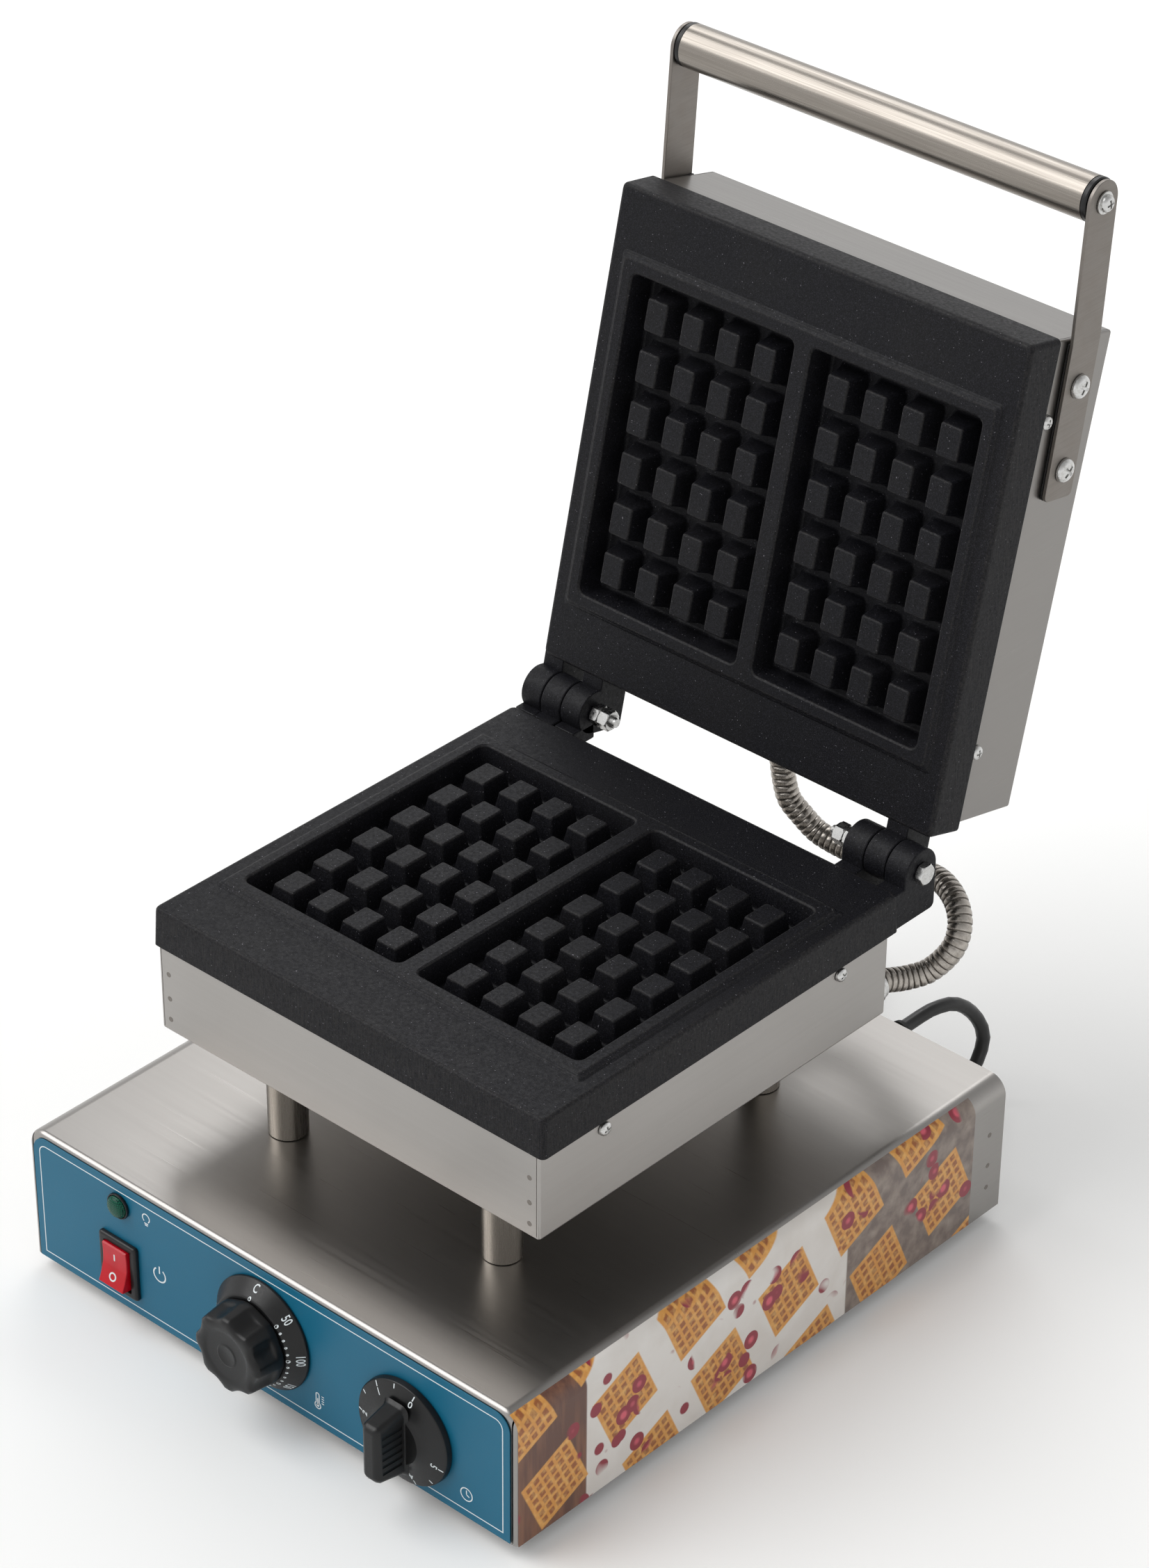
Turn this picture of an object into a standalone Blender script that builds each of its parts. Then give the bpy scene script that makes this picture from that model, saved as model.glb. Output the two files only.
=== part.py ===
"""Rectangular waffle maker: two hinged cast plates over a stainless base, modelled with the lid open.

Metres, +Z up, the front faces -Y. The origin is on the floor, midway between the foremost and the
rearmost point of the open machine. Pieces are placed from the middle of the base, under the empty
"machine". Lid pieces are drawn as they lie when closed, under the empty "lid_hinge_axis", which
turns them back to the open position. In a plate's own terms, "reach" is the distance forward from
the hinge axis and "rise" is the distance away from the parting plane.
"""

import math

import bmesh
import bpy
from mathutils import Euler, Matrix, Vector

# Clearances shared by all pieces
GAP = 0.0003
OVERRUN = 0.002
OVERLAP = 0.001
WELD_DISTANCE = 0.000001

# Base housing: a bent cover, a rear pan and a floor sheet
BASE_WIDTH = 0.3234
BASE_DEPTH = 0.352
BASE_HEIGHT = 0.077
BASE_SHEET = 0.0012
BASE_SIDE_BEND = 0.010
BASE_FRONT_BEND = 0.003
CORNER_RETURN = 0.0027
CORNER_SLIT = 0.0008
SLIT_BELOW_TOP = 0.003
REAR_PAN_FLANGE = 0.018

# Rubber feet
FOOT_HEIGHT = 0.008
FOOT_RADIUS = 0.011
FOOT_TIP_RADIUS = 0.009
FOOT_INSET = 0.024
FOOT_TAPER_START_SHARE = 0.6

# Control panel overlay and what is mounted through it
PANEL_THICKNESS = 0.0005
PANEL_SIDE_MARGIN = 0.0041
PANEL_FOOT_MARGIN = 0.0008
PANEL_HEAD_MARGIN = 0.0024
PANEL_CORNER = 0.009
LAMP_INSET = 0.0642
LAMP_Z = 0.070
LAMP_RADIUS = 0.007
LAMP_RIM = 0.0022
LAMP_BODY_RADIUS = 0.0055
LAMP_BODY_LENGTH = 0.022
LAMP_WALL = 0.001
LAMP_SEAT_DEPTH = 0.0015
LAMP_SEAT_WALL = 0.0016
LAMP_RIM_SHOULDER_SHARE = 0.6
LENS_DOME = 0.0032
LENS_DOME_SHARES = ((0, 1), (0.45, 0.88), (0.8, 0.62), (1, 0.3))
SWITCH_INSET = 0.0632
SWITCH_Z = 0.034
SWITCH_WIDTH = 0.0255
SWITCH_HEIGHT = 0.0318
SWITCH_RIM = 0.0022
SWITCH_LIP = 0.0025
SWITCH_BODY_DEPTH = 0.024
ROCKER_WIDTH = 0.0172
ROCKER_HEIGHT = 0.0235
ROCKER_WELL = 0.009
ROCKER_PROUD = 0.0035
ROCKER_TILT = math.radians(9)
ROCKER_PIVOT_DEPTH = 0.0015
ROCKER_BACK_SHARE = 0.96
ROCKER_HEEL_SHARE = 0.5
ROCKER_HEEL_SWEEP = math.radians(145)

# Thermostat dial and grip
THERMOSTAT_X = 0.0
THERMOSTAT_Z = 0.0465
THERMOSTAT_SKIRT_RADIUS = 0.0305
THERMOSTAT_SHOULDER_RADIUS = 0.0235
THERMOSTAT_SKIRT_DEPTH = 0.0085
THERMOSTAT_GRIP_RADIUS = 0.0225
THERMOSTAT_GRIP_DEPTH = 0.0165
GRIP_FLUTES = 8
GRIP_FLUTE_RADIUS = 0.009
GRIP_FLUTE_DEPTH = 0.0022
GRIP_TAPER_SHARE = 0.92
GRIP_DIMPLE_RADIUS = 0.0065
GRIP_DIMPLE_DEPTH = 0.0008
THERMOSTAT_BODY_WIDTH = 0.040
THERMOSTAT_BODY_DEPTH = 0.024

# Timer knob
TIMER_INSET = 0.0682
TIMER_Z = 0.0405
TIMER_SKIRT_RADIUS = 0.0285
TIMER_SHOULDER_RADIUS = 0.0235
TIMER_SKIRT_DEPTH = 0.0075
TIMER_GRIP_WIDTH = 0.013
TIMER_GRIP_HEIGHT = 0.039
TIMER_GRIP_DEPTH = 0.018
TIMER_GRIP_TAPER_SHARE = 0.82
TIMER_GROOVE_WIDTH = 0.0016
TIMER_GROOVE_DEPTH = 0.0008
TIMER_GROOVE_PITCH = 0.0042
TIMER_GROOVES = 6
TIMER_GROOVE_LENGTH = 0.012
TIMER_GROOVE_SETBACK = 0.0035
TIMER_BODY_WIDTH = 0.046
TIMER_BODY_DEPTH = 0.032

# Both controls turn on the same kind of shaft
SHAFT_RADIUS = 0.003
SHAFT_HOLE_RADIUS = 0.005
SHAFT_BUSH_RADIUS = 0.0046
SHAFT_REACH = 0.014
SHAFT_COLLAR_DEPTH = 0.004

# Posts between base and lower housing
POST_RADIUS = 0.010
POST_WALL = 0.0012
POST_HEIGHT = 0.0477
POST_SPACING_X = 0.1415
POST_SPACING_Y = 0.184
POST_CENTRE_X = 0.0039
POST_CENTRE_Y = -0.001

# Lower and upper housings, open towards their plates
HOUSING_SHEET = 0.0012
HOUSING_HEIGHT = 0.0466
HOUSING_WIDTH = 0.2462
HOUSING_REACH_NEAR = 0.0202
HOUSING_REACH_FAR = 0.2654
LID_HOUSING_HEIGHT = 0.0440
LID_HOUSING_REACH_NEAR = 0.0190
LID_HOUSING_REACH_FAR = 0.2622

# Cast plates
PLATE_WIDTH = 0.2506
PLATE_REACH_NEAR = 0.0168
PLATE_REACH_FAR = 0.2654
LID_PLATE_REACH_FAR = 0.2634
PLATE_THICKNESS = 0.0217
PLATE_DRAFT = 0.0008
PLATE_EDGE_ROUND = 0.002
LAND_HEIGHT = 0.0025
LAND_SLOPE = 0.003
LAND_MARGIN = 0.0062
DIVIDER_WIDTH = 0.0106
CAVITY_WIDTH = 0.1028
CAVITY_LENGTH = 0.1663
CAVITY_REACH = 0.0567
CAVITY_DEPTH = 0.015
CAVITY_DRAFT = 0.0022
CAVITY_CORNER = 0.004
PEG_COLUMNS = 4
PEG_ROWS = 6
PEG_PITCH_X = 0.02276
PEG_PITCH_Y = 0.02628
PEG_WIDTH = 0.0127
PEG_LENGTH = 0.0164
PEG_FLARE = 0.0026
PEG_BELOW_LAND = 0.00175
PEG_BEVEL = 0.0009
BOSS_WIDTH = 0.010
BOSS_LENGTH = 0.014
BOSS_HEIGHT = 0.012

# Hinge
HINGE_RISE = 0.0018
CLOSED_LAND_GAP = 0.0006
OPEN_ANGLE = math.radians(103)
HINGE_INSET = 0.0004
KNUCKLE_RADIUS = 0.0118
KNUCKLE_WIDTH = 0.0129
KNUCKLE_GAP = 0.0004
KNUCKLES = 3
LUG_CHAMFER = 0.003
LUG_LIFT = 0.0006
HEEL_HEIGHT = 0.009
HEEL_DROP = 0.0055
BOLT_RADIUS = 0.003
BOLT_HOLE_RADIUS = 0.0033
BOLT_HEAD_ACROSS = 0.010
BOLT_HEAD_HEIGHT = 0.004
BOLT_PROTRUSION = 0.003
NUT_HEIGHT = 0.005
LOCKNUT_HEIGHT = 0.006

# Machine screws that hold the plates in their housings
SIDE_SCREW_HEAD_RADIUS = 0.0037
SIDE_SCREW_HEAD_HEIGHT = 0.0024
SIDE_SCREW_RADIUS = 0.002
SIDE_SCREW_LENGTH = 0.009
LOWER_SIDE_SCREW_RISE = 0.0055
LID_SIDE_SCREW_RISE = 0.0044
SIDE_SCREW_REACH_NEAR = 0.056
SIDE_SCREW_REACH_FAR = 0.2225
SCREW_DOME_SHARES = ((0, 1), (0.55, 0.93), (0.9, 0.55), (1, 0))

# Handle: two flat straps and a tube
HANDLE_REACH = 0.3285
HANDLE_RISE = 0.0323
HANDLE_TUBE_RADIUS = 0.011
HANDLE_TUBE_GAP = 0.0006
STRAP_WIDTH = 0.021
STRAP_THICKNESS = 0.002
STRAP_CORNER = 0.003
STRAP_SPACER = 0.0008
STRAP_BEND_REACH = 0.2610
STRAP_BEND_RISE = 0.0427
STRAP_END_REACH = 0.1828
STRAP_END_RISE = 0.0465
STRAP_HOLE_SHARES = (0.28, 0.81)
STRAP_SCREW_HEAD_RADIUS = 0.006
STRAP_SCREW_HEAD_HEIGHT = 0.0034
STRAP_SCREW_RADIUS = 0.003
STRAP_SCREW_LENGTH = 0.010
END_SCREW_HEAD_RADIUS = 0.0055
END_SCREW_HEAD_HEIGHT = 0.0038
END_SCREW_RADIUS = 0.0025
END_SCREW_LENGTH = 0.014

# Heating elements under the plates
ELEMENT_RADIUS = 0.0033
ELEMENT_RUNS = 4
ELEMENT_RUN_PITCH = 0.050
ELEMENT_REACH_NEAR = 0.050
ELEMENT_REACH_FAR = 0.232
ELEMENT_ARC_STEPS = 8
TERMINAL_LENGTH = 0.045
TERMINAL_WIDTH = 0.018
TERMINAL_HEIGHT = 0.016
TERMINAL_X = 0.015
TERMINAL_CLEARANCE = 0.003

# Flexible conduit between the two housings
HOSE_RADIUS = 0.0062
HOSE_GROOVE_RADIUS = 0.0056
HOSE_BORE_RADIUS = 0.0042
HOSE_RIB_PITCH = 0.0035
HOSE_TOP_X = -0.003
HOSE_TOP_RISE = 0.045
HOSE_END_X = 0.1130
HOSE_END_Z = 0.1420
HOSE_BORE_STEP = 0.0087
HOSE_ROUTE = (
    (0.0044, 0.1900, 0.1759),
    (0.0124, 0.1925, 0.1656),
    (0.0224, 0.1955, 0.1575),
    (0.0484, 0.1970, 0.1556),
    (0.0879, 0.1915, 0.1671),
    (0.1063, 0.1860, 0.1722),
    (0.1212, 0.1790, 0.1708),
    (0.1297, 0.1725, 0.1639),
    (0.1315, 0.1655, 0.1542),
    (0.1246, 0.1575, 0.1424),
    (0.1178, 0.1475, 0.1395),
)
FITTING_RADIUS = 0.0088
FITTING_COLLAR_RADIUS = 0.0077
FITTING_FLANGE = 0.0025
FITTING_LENGTH = 0.006
FITTING_NECK_LENGTH = 0.004
FITTING_NECK_RADIUS = 0.0072

# Mains cord, its strain relief, coil and plug
CORD_RADIUS = 0.0037
CORD_LENGTH = 1.5
CORD_STRAIGHT = 0.0075
CORD_EXIT_X = 0.0756
CORD_EXIT_Z = 0.0605
CORD_STEP = 0.0138
CORD_ROUTE_DOWN = (
    (0.0773, 0.2235, 0.0618),
    (0.0800, 0.2390, 0.0587),
    (0.0828, 0.2520, 0.0467),
    (0.0862, 0.2568, 0.0330),
    (0.0868, 0.2525, 0.0200),
    (0.0860, 0.2430, 0.0102),
    (0.0830, 0.2310, 0.0052),
)
CORD_ROUTE_FLOOR = ((0.0765, 0.2195), (0.0625, 0.2080), (0.0440, 0.2038), (0.0200, 0.2030))
GLAND_LENGTH = 0.026
GLAND_RADIUS = 0.0078
GLAND_TIP_RADIUS = 0.0050
GLAND_NECK_RADIUS = 0.0062
GLAND_HEAD_LENGTH = 0.005
GLAND_SHOULDER_SHARES = ((0.86, 0.25), (1, 0.12))
COIL_X = -0.058
COIL_LEAD_IN = 0.015
COIL_APPROACH = 0.033
COIL_SOUTH_Y = 0.203
COIL_LIFT = 0.0013
COIL_TURN_GAP = 0.0008
COIL_LAYER_TURNS = 2.5
COIL_POINTS_PER_TURN = 24
PLUG_GAP_FROM_COIL = 0.046
PLUG_WIDTH = 0.048
PLUG_LENGTH = 0.046
PLUG_HEIGHT = 0.024
PLUG_CORNER = 0.006
PIN_THICKNESS = 0.004
PIN_WIDTH = 0.0063
PIN_LENGTH = 0.0177
EARTH_PIN_WIDTH = 0.004
EARTH_PIN_DEPTH = 0.008
EARTH_PIN_LENGTH = 0.0227
PIN_SPREAD = 0.0222
PIN_SETBACK = 0.0222

# How finely round shapes are cut
HEX_SIDES = 6
COARSE_SIDES = 12
SCREW_SIDES = 16
FLUTE_SIDES = 20
ROUND_SIDES = 20
FINE_SIDES = 40
CORNER_STEPS = 3
BEND_STEPS = 6

# Places that follow from the sizes above
BASE_TOP = FOOT_HEIGHT + BASE_HEIGHT
FRONT_Y = -BASE_DEPTH / 2
REAR_Y = BASE_DEPTH / 2
SIDE_X = BASE_WIDTH / 2
LAMP_X = -SIDE_X + LAMP_INSET
SWITCH_X = -SIDE_X + SWITCH_INSET
TIMER_X = SIDE_X - TIMER_INSET
HINGE_HALF_SPAN = PLATE_WIDTH / 2 - HINGE_INSET
HOUSING_FLOOR_Z = BASE_TOP + POST_HEIGHT
PLATE_BOTTOM_Z = HOUSING_FLOOR_Z + HOUSING_HEIGHT + GAP
LAND_Z = PLATE_BOTTOM_Z + PLATE_THICKNESS + LAND_HEIGHT
HINGE_Z = LAND_Z + HINGE_RISE
HINGE_Y = 0.1452
LOWER_LAND_RISE = HINGE_RISE
UPPER_LAND_RISE = CLOSED_LAND_GAP - HINGE_RISE
PANEL_FACE_Y = FRONT_Y - GAP - PANEL_THICKNESS
KNUCKLE_PITCH = KNUCKLE_WIDTH + KNUCKLE_GAP
STRAP_INNER_X = HOUSING_WIDTH / 2 + GAP + STRAP_SPACER + GAP
STRAP_OUTER_X = STRAP_INNER_X + STRAP_THICKNESS
LID_BACK_RISE = UPPER_LAND_RISE + LAND_HEIGHT + PLATE_THICKNESS
LID_TOP_RISE = LID_BACK_RISE + GAP + LID_HOUSING_HEIGHT
THERMOSTAT_FRONT_Y = PANEL_FACE_Y - GAP - THERMOSTAT_SKIRT_DEPTH - GAP - THERMOSTAT_GRIP_DEPTH
TIMER_FRONT_Y = PANEL_FACE_Y - GAP - TIMER_SKIRT_DEPTH - TIMER_GRIP_DEPTH

# Turning an outline from the XY plane: its own x and y become the two axes named here
FACE_FRONT = (math.pi / 2, 0, 0)
FACE_REAR = (math.pi / 2, 0, math.pi)
FACE_RIGHT = (math.pi / 2, 0, math.pi / 2)
FACE_LEFT = (math.pi / 2, 0, -math.pi / 2)
FACE_UP = (0, 0, 0)
FACE_DOWN = (math.pi, 0, 0)


def clear_scene():
    for obj in list(bpy.data.objects):
        bpy.data.objects.remove(obj, do_unlink=True)


def new_collection(name):
    collection = bpy.data.collections.new(name)
    bpy.context.scene.collection.children.link(collection)
    return collection


def new_material(name, colour, roughness, metallic):
    material = bpy.data.materials.new(name)
    material.use_nodes = True
    shader = material.node_tree.nodes["Principled BSDF"]
    shader.inputs["Base Color"].default_value = (*colour, 1)
    shader.inputs["Roughness"].default_value = roughness
    shader.inputs["Metallic"].default_value = metallic
    material.diffuse_color = (*colour, 1)
    return material


clear_scene()
PARTS = new_collection("waffle_maker")
HELPERS = new_collection("cutters")

STEEL = new_material("brushed_stainless", (0.58, 0.57, 0.55), 0.32, 1)
BRIGHT = new_material("zinc_plated_steel", (0.66, 0.67, 0.66), 0.25, 1)
TUBE_STEEL = new_material("satin_stainless_tube", (0.62, 0.60, 0.57), 0.24, 1)
IRON = new_material("non_stick_cast_iron", (0.022, 0.022, 0.023), 0.55, 0)
BLUE = new_material("printed_blue_overlay", (0.065, 0.185, 0.265), 0.4, 0)
BLACK = new_material("black_moulded_plastic", (0.018, 0.018, 0.019), 0.42, 0)
RUBBER = new_material("black_rubber", (0.02, 0.02, 0.02), 0.65, 0)
RED = new_material("red_translucent_plastic", (0.45, 0.012, 0.018), 0.22, 0)
GREEN = new_material("green_lamp_lens", (0.02, 0.16, 0.11), 0.15, 0)
BRASS = new_material("brass_terminals", (0.60, 0.45, 0.20), 0.3, 1)
ELEMENT = new_material("heating_element_sheath", (0.24, 0.23, 0.22), 0.5, 1)


def new_empty(name, location=(0, 0, 0), rotation=(0, 0, 0), parent=None):
    empty = bpy.data.objects.new(name, None)
    PARTS.objects.link(empty)
    empty.location = location
    empty.rotation_euler = rotation
    empty.parent = parent
    return empty


def new_part(name, data, material=None, location=(0, 0, 0), rotation=(0, 0, 0), parent=None):
    """An object of the model, or a hidden helper shape where it has no material."""
    obj = bpy.data.objects.new(name, data)
    obj.location = location
    obj.rotation_euler = rotation
    obj.parent = parent
    if material:
        PARTS.objects.link(obj)
        data.materials.append(material)
    else:
        HELPERS.objects.link(obj)
        obj.hide_render = True
        obj.display_type = "WIRE"
    return obj


def shade_round(mesh, sharp_angle=math.radians(35)):
    mesh.shade_smooth()
    mesh.set_sharp_from_angle(angle=sharp_angle)


def finish_mesh(bm, name):
    bmesh.ops.recalc_face_normals(bm, faces=bm.faces)
    mesh = bpy.data.meshes.new(name)
    bm.to_mesh(mesh)
    bm.free()
    shade_round(mesh)
    return mesh


def bevel_where(bm, width, segments, wanted):
    """Rounds the edges whose middle and direction pass the test."""
    edges = []
    for edge in bm.edges:
        start, end = (vert.co for vert in edge.verts)
        if wanted((start + end) / 2, (end - start).normalized()):
            edges.append(edge)
    bmesh.ops.bevel(
        bm, geom=edges, offset=width, segments=segments, profile=0.5, affect="EDGES", clamp_overlap=True
    )


def block_mesh(name, size, rounds=()):
    """A box about its own middle. Each round is a width, a number of segments and a test of edges."""
    bm = bmesh.new()
    bmesh.ops.create_cube(bm, size=1, matrix=Matrix.Diagonal((*size, 1)))
    for width, segments, wanted in rounds:
        bevel_where(bm, width, segments, wanted)
    return finish_mesh(bm, name)


def block(name, low, high, material=None, parent=None, rounds=()):
    """A box between two corners."""
    low, high = Vector(low), Vector(high)
    mesh = block_mesh(name, high - low, rounds)
    return new_part(name, mesh, material, (low + high) / 2, parent=parent)


def tapered_block(bm, centre, size, flare, height, corner=0, corner_segments=1):
    """A four-sided frustum: size at its far end, wider by flare on each side at its near end.

    It stands on centre and grows by height along Z, which may be negative.
    """
    middle = Vector(centre) + Vector((0, 0, height / 2))
    matrix = Matrix.Translation(middle) @ Matrix.Diagonal((size[0], size[1], height, 1))
    made = bmesh.ops.create_cube(bm, size=1, matrix=matrix)["verts"]
    for vert in made:
        if abs(vert.co.z - centre[2]) < abs(height) / 2:
            vert.co.x += math.copysign(flare, vert.co.x - centre[0])
            vert.co.y += math.copysign(flare, vert.co.y - centre[1])
    if corner:
        edges = {edge for vert in made for edge in vert.link_edges}
        upright = [edge for edge in edges if abs(edge.verts[0].co.z - edge.verts[1].co.z) > abs(height) / 2]
        bmesh.ops.bevel(
            bm, geom=upright, offset=corner, segments=corner_segments, profile=0.5, affect="EDGES"
        )


def cylinder(name, radius, length, location, rotation, material=None, parent=None, sides=ROUND_SIDES):
    """A rod from its location along its own Z."""
    bm = bmesh.new()
    bmesh.ops.create_cone(
        bm,
        cap_ends=True,
        segments=sides,
        radius1=radius,
        radius2=radius,
        depth=length,
        matrix=Matrix.Translation((0, 0, length / 2)),
    )
    return new_part(name, finish_mesh(bm, name), material, location, rotation, parent)


def turned(name, profile, location, rotation, material=None, parent=None, sides=ROUND_SIDES, closed=False):
    """A profile of (radius, height) points, top to bottom on the outside, spun about its own Z."""
    mesh = bpy.data.meshes.new(name)
    points = [(radius, 0, height) for radius, height in profile]
    edges = [(index, index + 1) for index in range(len(points) - 1)]
    if closed:
        edges.append((len(points) - 1, 0))
    mesh.from_pydata(points, edges, [])
    obj = new_part(name, mesh, material, location, rotation, parent)
    screw = obj.modifiers.new("spin", "SCREW")
    screw.axis = "Z"
    screw.steps = sides
    screw.render_steps = sides
    screw.use_merge_vertices = True
    screw.merge_threshold = WELD_DISTANCE
    screw.use_smooth_shade = False
    return obj


def arc(centre, radius, start, end, steps):
    """Points on an arc from one angle to another, both ends included."""
    points = []
    for step in range(steps + 1):
        angle = start + (end - start) * step / steps
        points.append((centre[0] + radius * math.cos(angle), centre[1] + radius * math.sin(angle)))
    return points


def outline(name, points, thickness, location, rotation, material=None, parent=None, holes=()):
    """A flat sheet cut to an outline, centred on its own XY plane, with round holes."""
    curve = bpy.data.curves.new(name, "CURVE")
    curve.dimensions = "2D"
    curve.fill_mode = "BOTH"
    curve.extrude = thickness / 2
    for loop in (points, *holes):
        spline = curve.splines.new("POLY")
        spline.points.add(len(loop) - 1)
        for point, (x, y) in zip(spline.points, loop):
            point.co = (x, y, 0, 1)
        spline.use_cyclic_u = True
    drawn = bpy.data.objects.new(name + "_outline", curve)
    HELPERS.objects.link(drawn)
    mesh = evaluated_mesh(drawn, name)
    bpy.data.objects.remove(drawn, do_unlink=True)
    return new_part(name, mesh, material, location, rotation, parent)


def evaluated_mesh(obj, name):
    """The mesh of a curve, with its loose caps welded on."""
    bpy.context.view_layer.update()
    graph = bpy.context.evaluated_depsgraph_get()
    mesh = bpy.data.meshes.new_from_object(obj.evaluated_get(graph))
    bm = bmesh.new()
    bm.from_mesh(mesh)
    bmesh.ops.remove_doubles(bm, verts=bm.verts, dist=WELD_DISTANCE)
    bmesh.ops.recalc_face_normals(bm, faces=bm.faces)
    bm.to_mesh(mesh)
    bm.free()
    mesh.name = name
    shade_round(mesh)
    return mesh


def tube(name, points, radius, resolution, material=None, parent=None, radii=None):
    """A round bar along points, as a curve object with filled caps."""
    curve = bpy.data.curves.new(name, "CURVE")
    curve.dimensions = "3D"
    curve.bevel_depth = radius
    curve.bevel_resolution = resolution
    curve.use_fill_caps = True
    spline = curve.splines.new("POLY")
    spline.points.add(len(points) - 1)
    for index, place in enumerate(points):
        spline.points[index].co = (*place, 1)
        if radii:
            spline.points[index].radius = radii[index] / radius
    spline.use_smooth = True
    return new_part(name, curve, material, parent=parent)


def as_mesh(obj):
    """Swaps a curve object for a mesh object of the same name, so that it can be cut."""
    name = obj.name
    mesh = evaluated_mesh(obj, name)
    parent, users, hidden = obj.parent, list(obj.users_collection), obj.hide_render
    bpy.data.objects.remove(obj, do_unlink=True)
    swapped = bpy.data.objects.new(name, mesh)
    swapped.parent = parent
    swapped.hide_render = hidden
    swapped.display_type = "WIRE" if hidden else "TEXTURED"
    for collection in users:
        collection.objects.link(swapped)
    return swapped


def combine(target, helper, operation):
    modifier = target.modifiers.new(helper.name, "BOOLEAN")
    modifier.operation = operation
    modifier.solver = "EXACT"
    modifier.object = helper
    return target


def cut(target, *helpers):
    for helper in helpers:
        combine(target, helper, "DIFFERENCE")
    return target


def add(target, *helpers):
    for helper in helpers:
        combine(target, helper, "UNION")
    return target


def smooth_route(knots, spacing):
    """Evenly spaced points on one smooth curve through the knots."""
    knots = [Vector(knot) for knot in knots]
    padded = [knots[0] * 2 - knots[1], *knots, knots[-1] * 2 - knots[-2]]
    dense = []
    fine = 24
    for index in range(1, len(padded) - 2):
        before, start, end, after = padded[index - 1 : index + 3]
        span = (end - start).length
        leave = (end - before) / ((end - start).length + (start - before).length)
        arrive = (after - start) / ((after - end).length + (end - start).length)
        for step in range(fine):
            t = step / fine
            dense.append(
                start * (2 * t**3 - 3 * t**2 + 1)
                + leave * span * (t**3 - 2 * t**2 + t)
                + end * (3 * t**2 - 2 * t**3)
                + arrive * span * (t**3 - t**2)
            )
    dense.append(knots[-1])
    lengths = [0.0]
    for first, second in zip(dense, dense[1:]):
        lengths.append(lengths[-1] + (second - first).length)
    count = max(2, round(lengths[-1] / spacing))
    points = []
    index = 0
    for number in range(count + 1):
        target = lengths[-1] * number / count
        while index < len(lengths) - 2 and lengths[index + 1] < target:
            index += 1
        share = (target - lengths[index]) / (lengths[index + 1] - lengths[index])
        points.append(dense[index].lerp(dense[index + 1], share))
    return points


def route_length(points):
    return sum((second - first).length for first, second in zip(points, points[1:]))


def least_self_gap(points, diameter):
    """The smallest clearance between stretches of a tube that lie far apart along it."""
    along = [0.0]
    for first, second in zip(points, points[1:]):
        along.append(along[-1] + (second - first).length)
    least = math.inf
    for one in range(len(points)):
        for other in range(one + 1, len(points)):
            if along[other] - along[one] > math.pi * diameter:
                least = min(least, (points[other] - points[one]).length - diameter)
    return least


def round_along(direction, sides, width, segments):
    """A rounding of the edges that run along one axis, on the sides of the box that the signs name."""

    def wanted(middle, along):
        if abs(along[direction]) < 0.99:
            return False
        return all(middle[axis] * sign > 0 for axis, sign in sides)

    return width, segments, wanted


def panel_holes():
    """Round and square holes through the front sheet and its overlay, as (x, z) loops."""
    holes = [
        arc((LAMP_X, LAMP_Z), LAMP_BODY_RADIUS + GAP, 0, math.tau, ROUND_SIDES)[:-1],
        arc((THERMOSTAT_X, THERMOSTAT_Z), SHAFT_HOLE_RADIUS, 0, math.tau, ROUND_SIDES)[:-1],
        arc((TIMER_X, TIMER_Z), SHAFT_HOLE_RADIUS, 0, math.tau, ROUND_SIDES)[:-1],
    ]
    half_width = SWITCH_WIDTH / 2 - SWITCH_RIM + GAP
    half_height = SWITCH_HEIGHT / 2 - SWITCH_RIM + GAP
    holes.append(
        [
            (SWITCH_X - half_width, SWITCH_Z - half_height),
            (SWITCH_X + half_width, SWITCH_Z - half_height),
            (SWITCH_X + half_width, SWITCH_Z + half_height),
            (SWITCH_X - half_width, SWITCH_Z + half_height),
        ]
    )
    return holes


def make_base_cover(machine):
    """Top, sides and front in one bent sheet, open below and behind."""
    cover = block(
        "base_cover",
        (-SIDE_X, FRONT_Y, FOOT_HEIGHT),
        (SIDE_X, REAR_Y, BASE_TOP),
        STEEL,
        machine,
        rounds=(
            round_along(1, ((2, 1),), BASE_SIDE_BEND, BEND_STEPS),
            round_along(0, ((1, -1), (2, 1)), BASE_FRONT_BEND, CORNER_STEPS),
        ),
    )
    hollow = block(
        "base_cover_hollow",
        (-SIDE_X + BASE_SHEET, FRONT_Y + BASE_SHEET, FOOT_HEIGHT - OVERRUN),
        (SIDE_X - BASE_SHEET, REAR_Y + OVERRUN, BASE_TOP - BASE_SHEET),
        parent=machine,
        rounds=(round_along(1, ((2, 1),), BASE_SIDE_BEND - BASE_SHEET, BEND_STEPS),),
    )
    cut(cover, hollow)
    for side, word in ((-1, "left"), (1, "right")):
        slit_x = side * (SIDE_X - CORNER_RETURN - CORNER_SLIT / 2)
        slit = block(
            f"corner_slit_{word}",
            (slit_x - CORNER_SLIT / 2, FRONT_Y - OVERRUN, FOOT_HEIGHT - OVERRUN),
            (slit_x + CORNER_SLIT / 2, FRONT_Y + BASE_SHEET + GAP, BASE_TOP - SLIT_BELOW_TOP),
            parent=machine,
        )
        cut(cover, slit)
    for number, loop in enumerate(panel_holes()):
        depth = BASE_SHEET + OVERRUN * 2
        place = (0, FRONT_Y, 0)
        cutter = outline(f"front_hole_{number}", loop, depth, place, FACE_FRONT, parent=machine)
        cut(cover, cutter)


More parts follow.
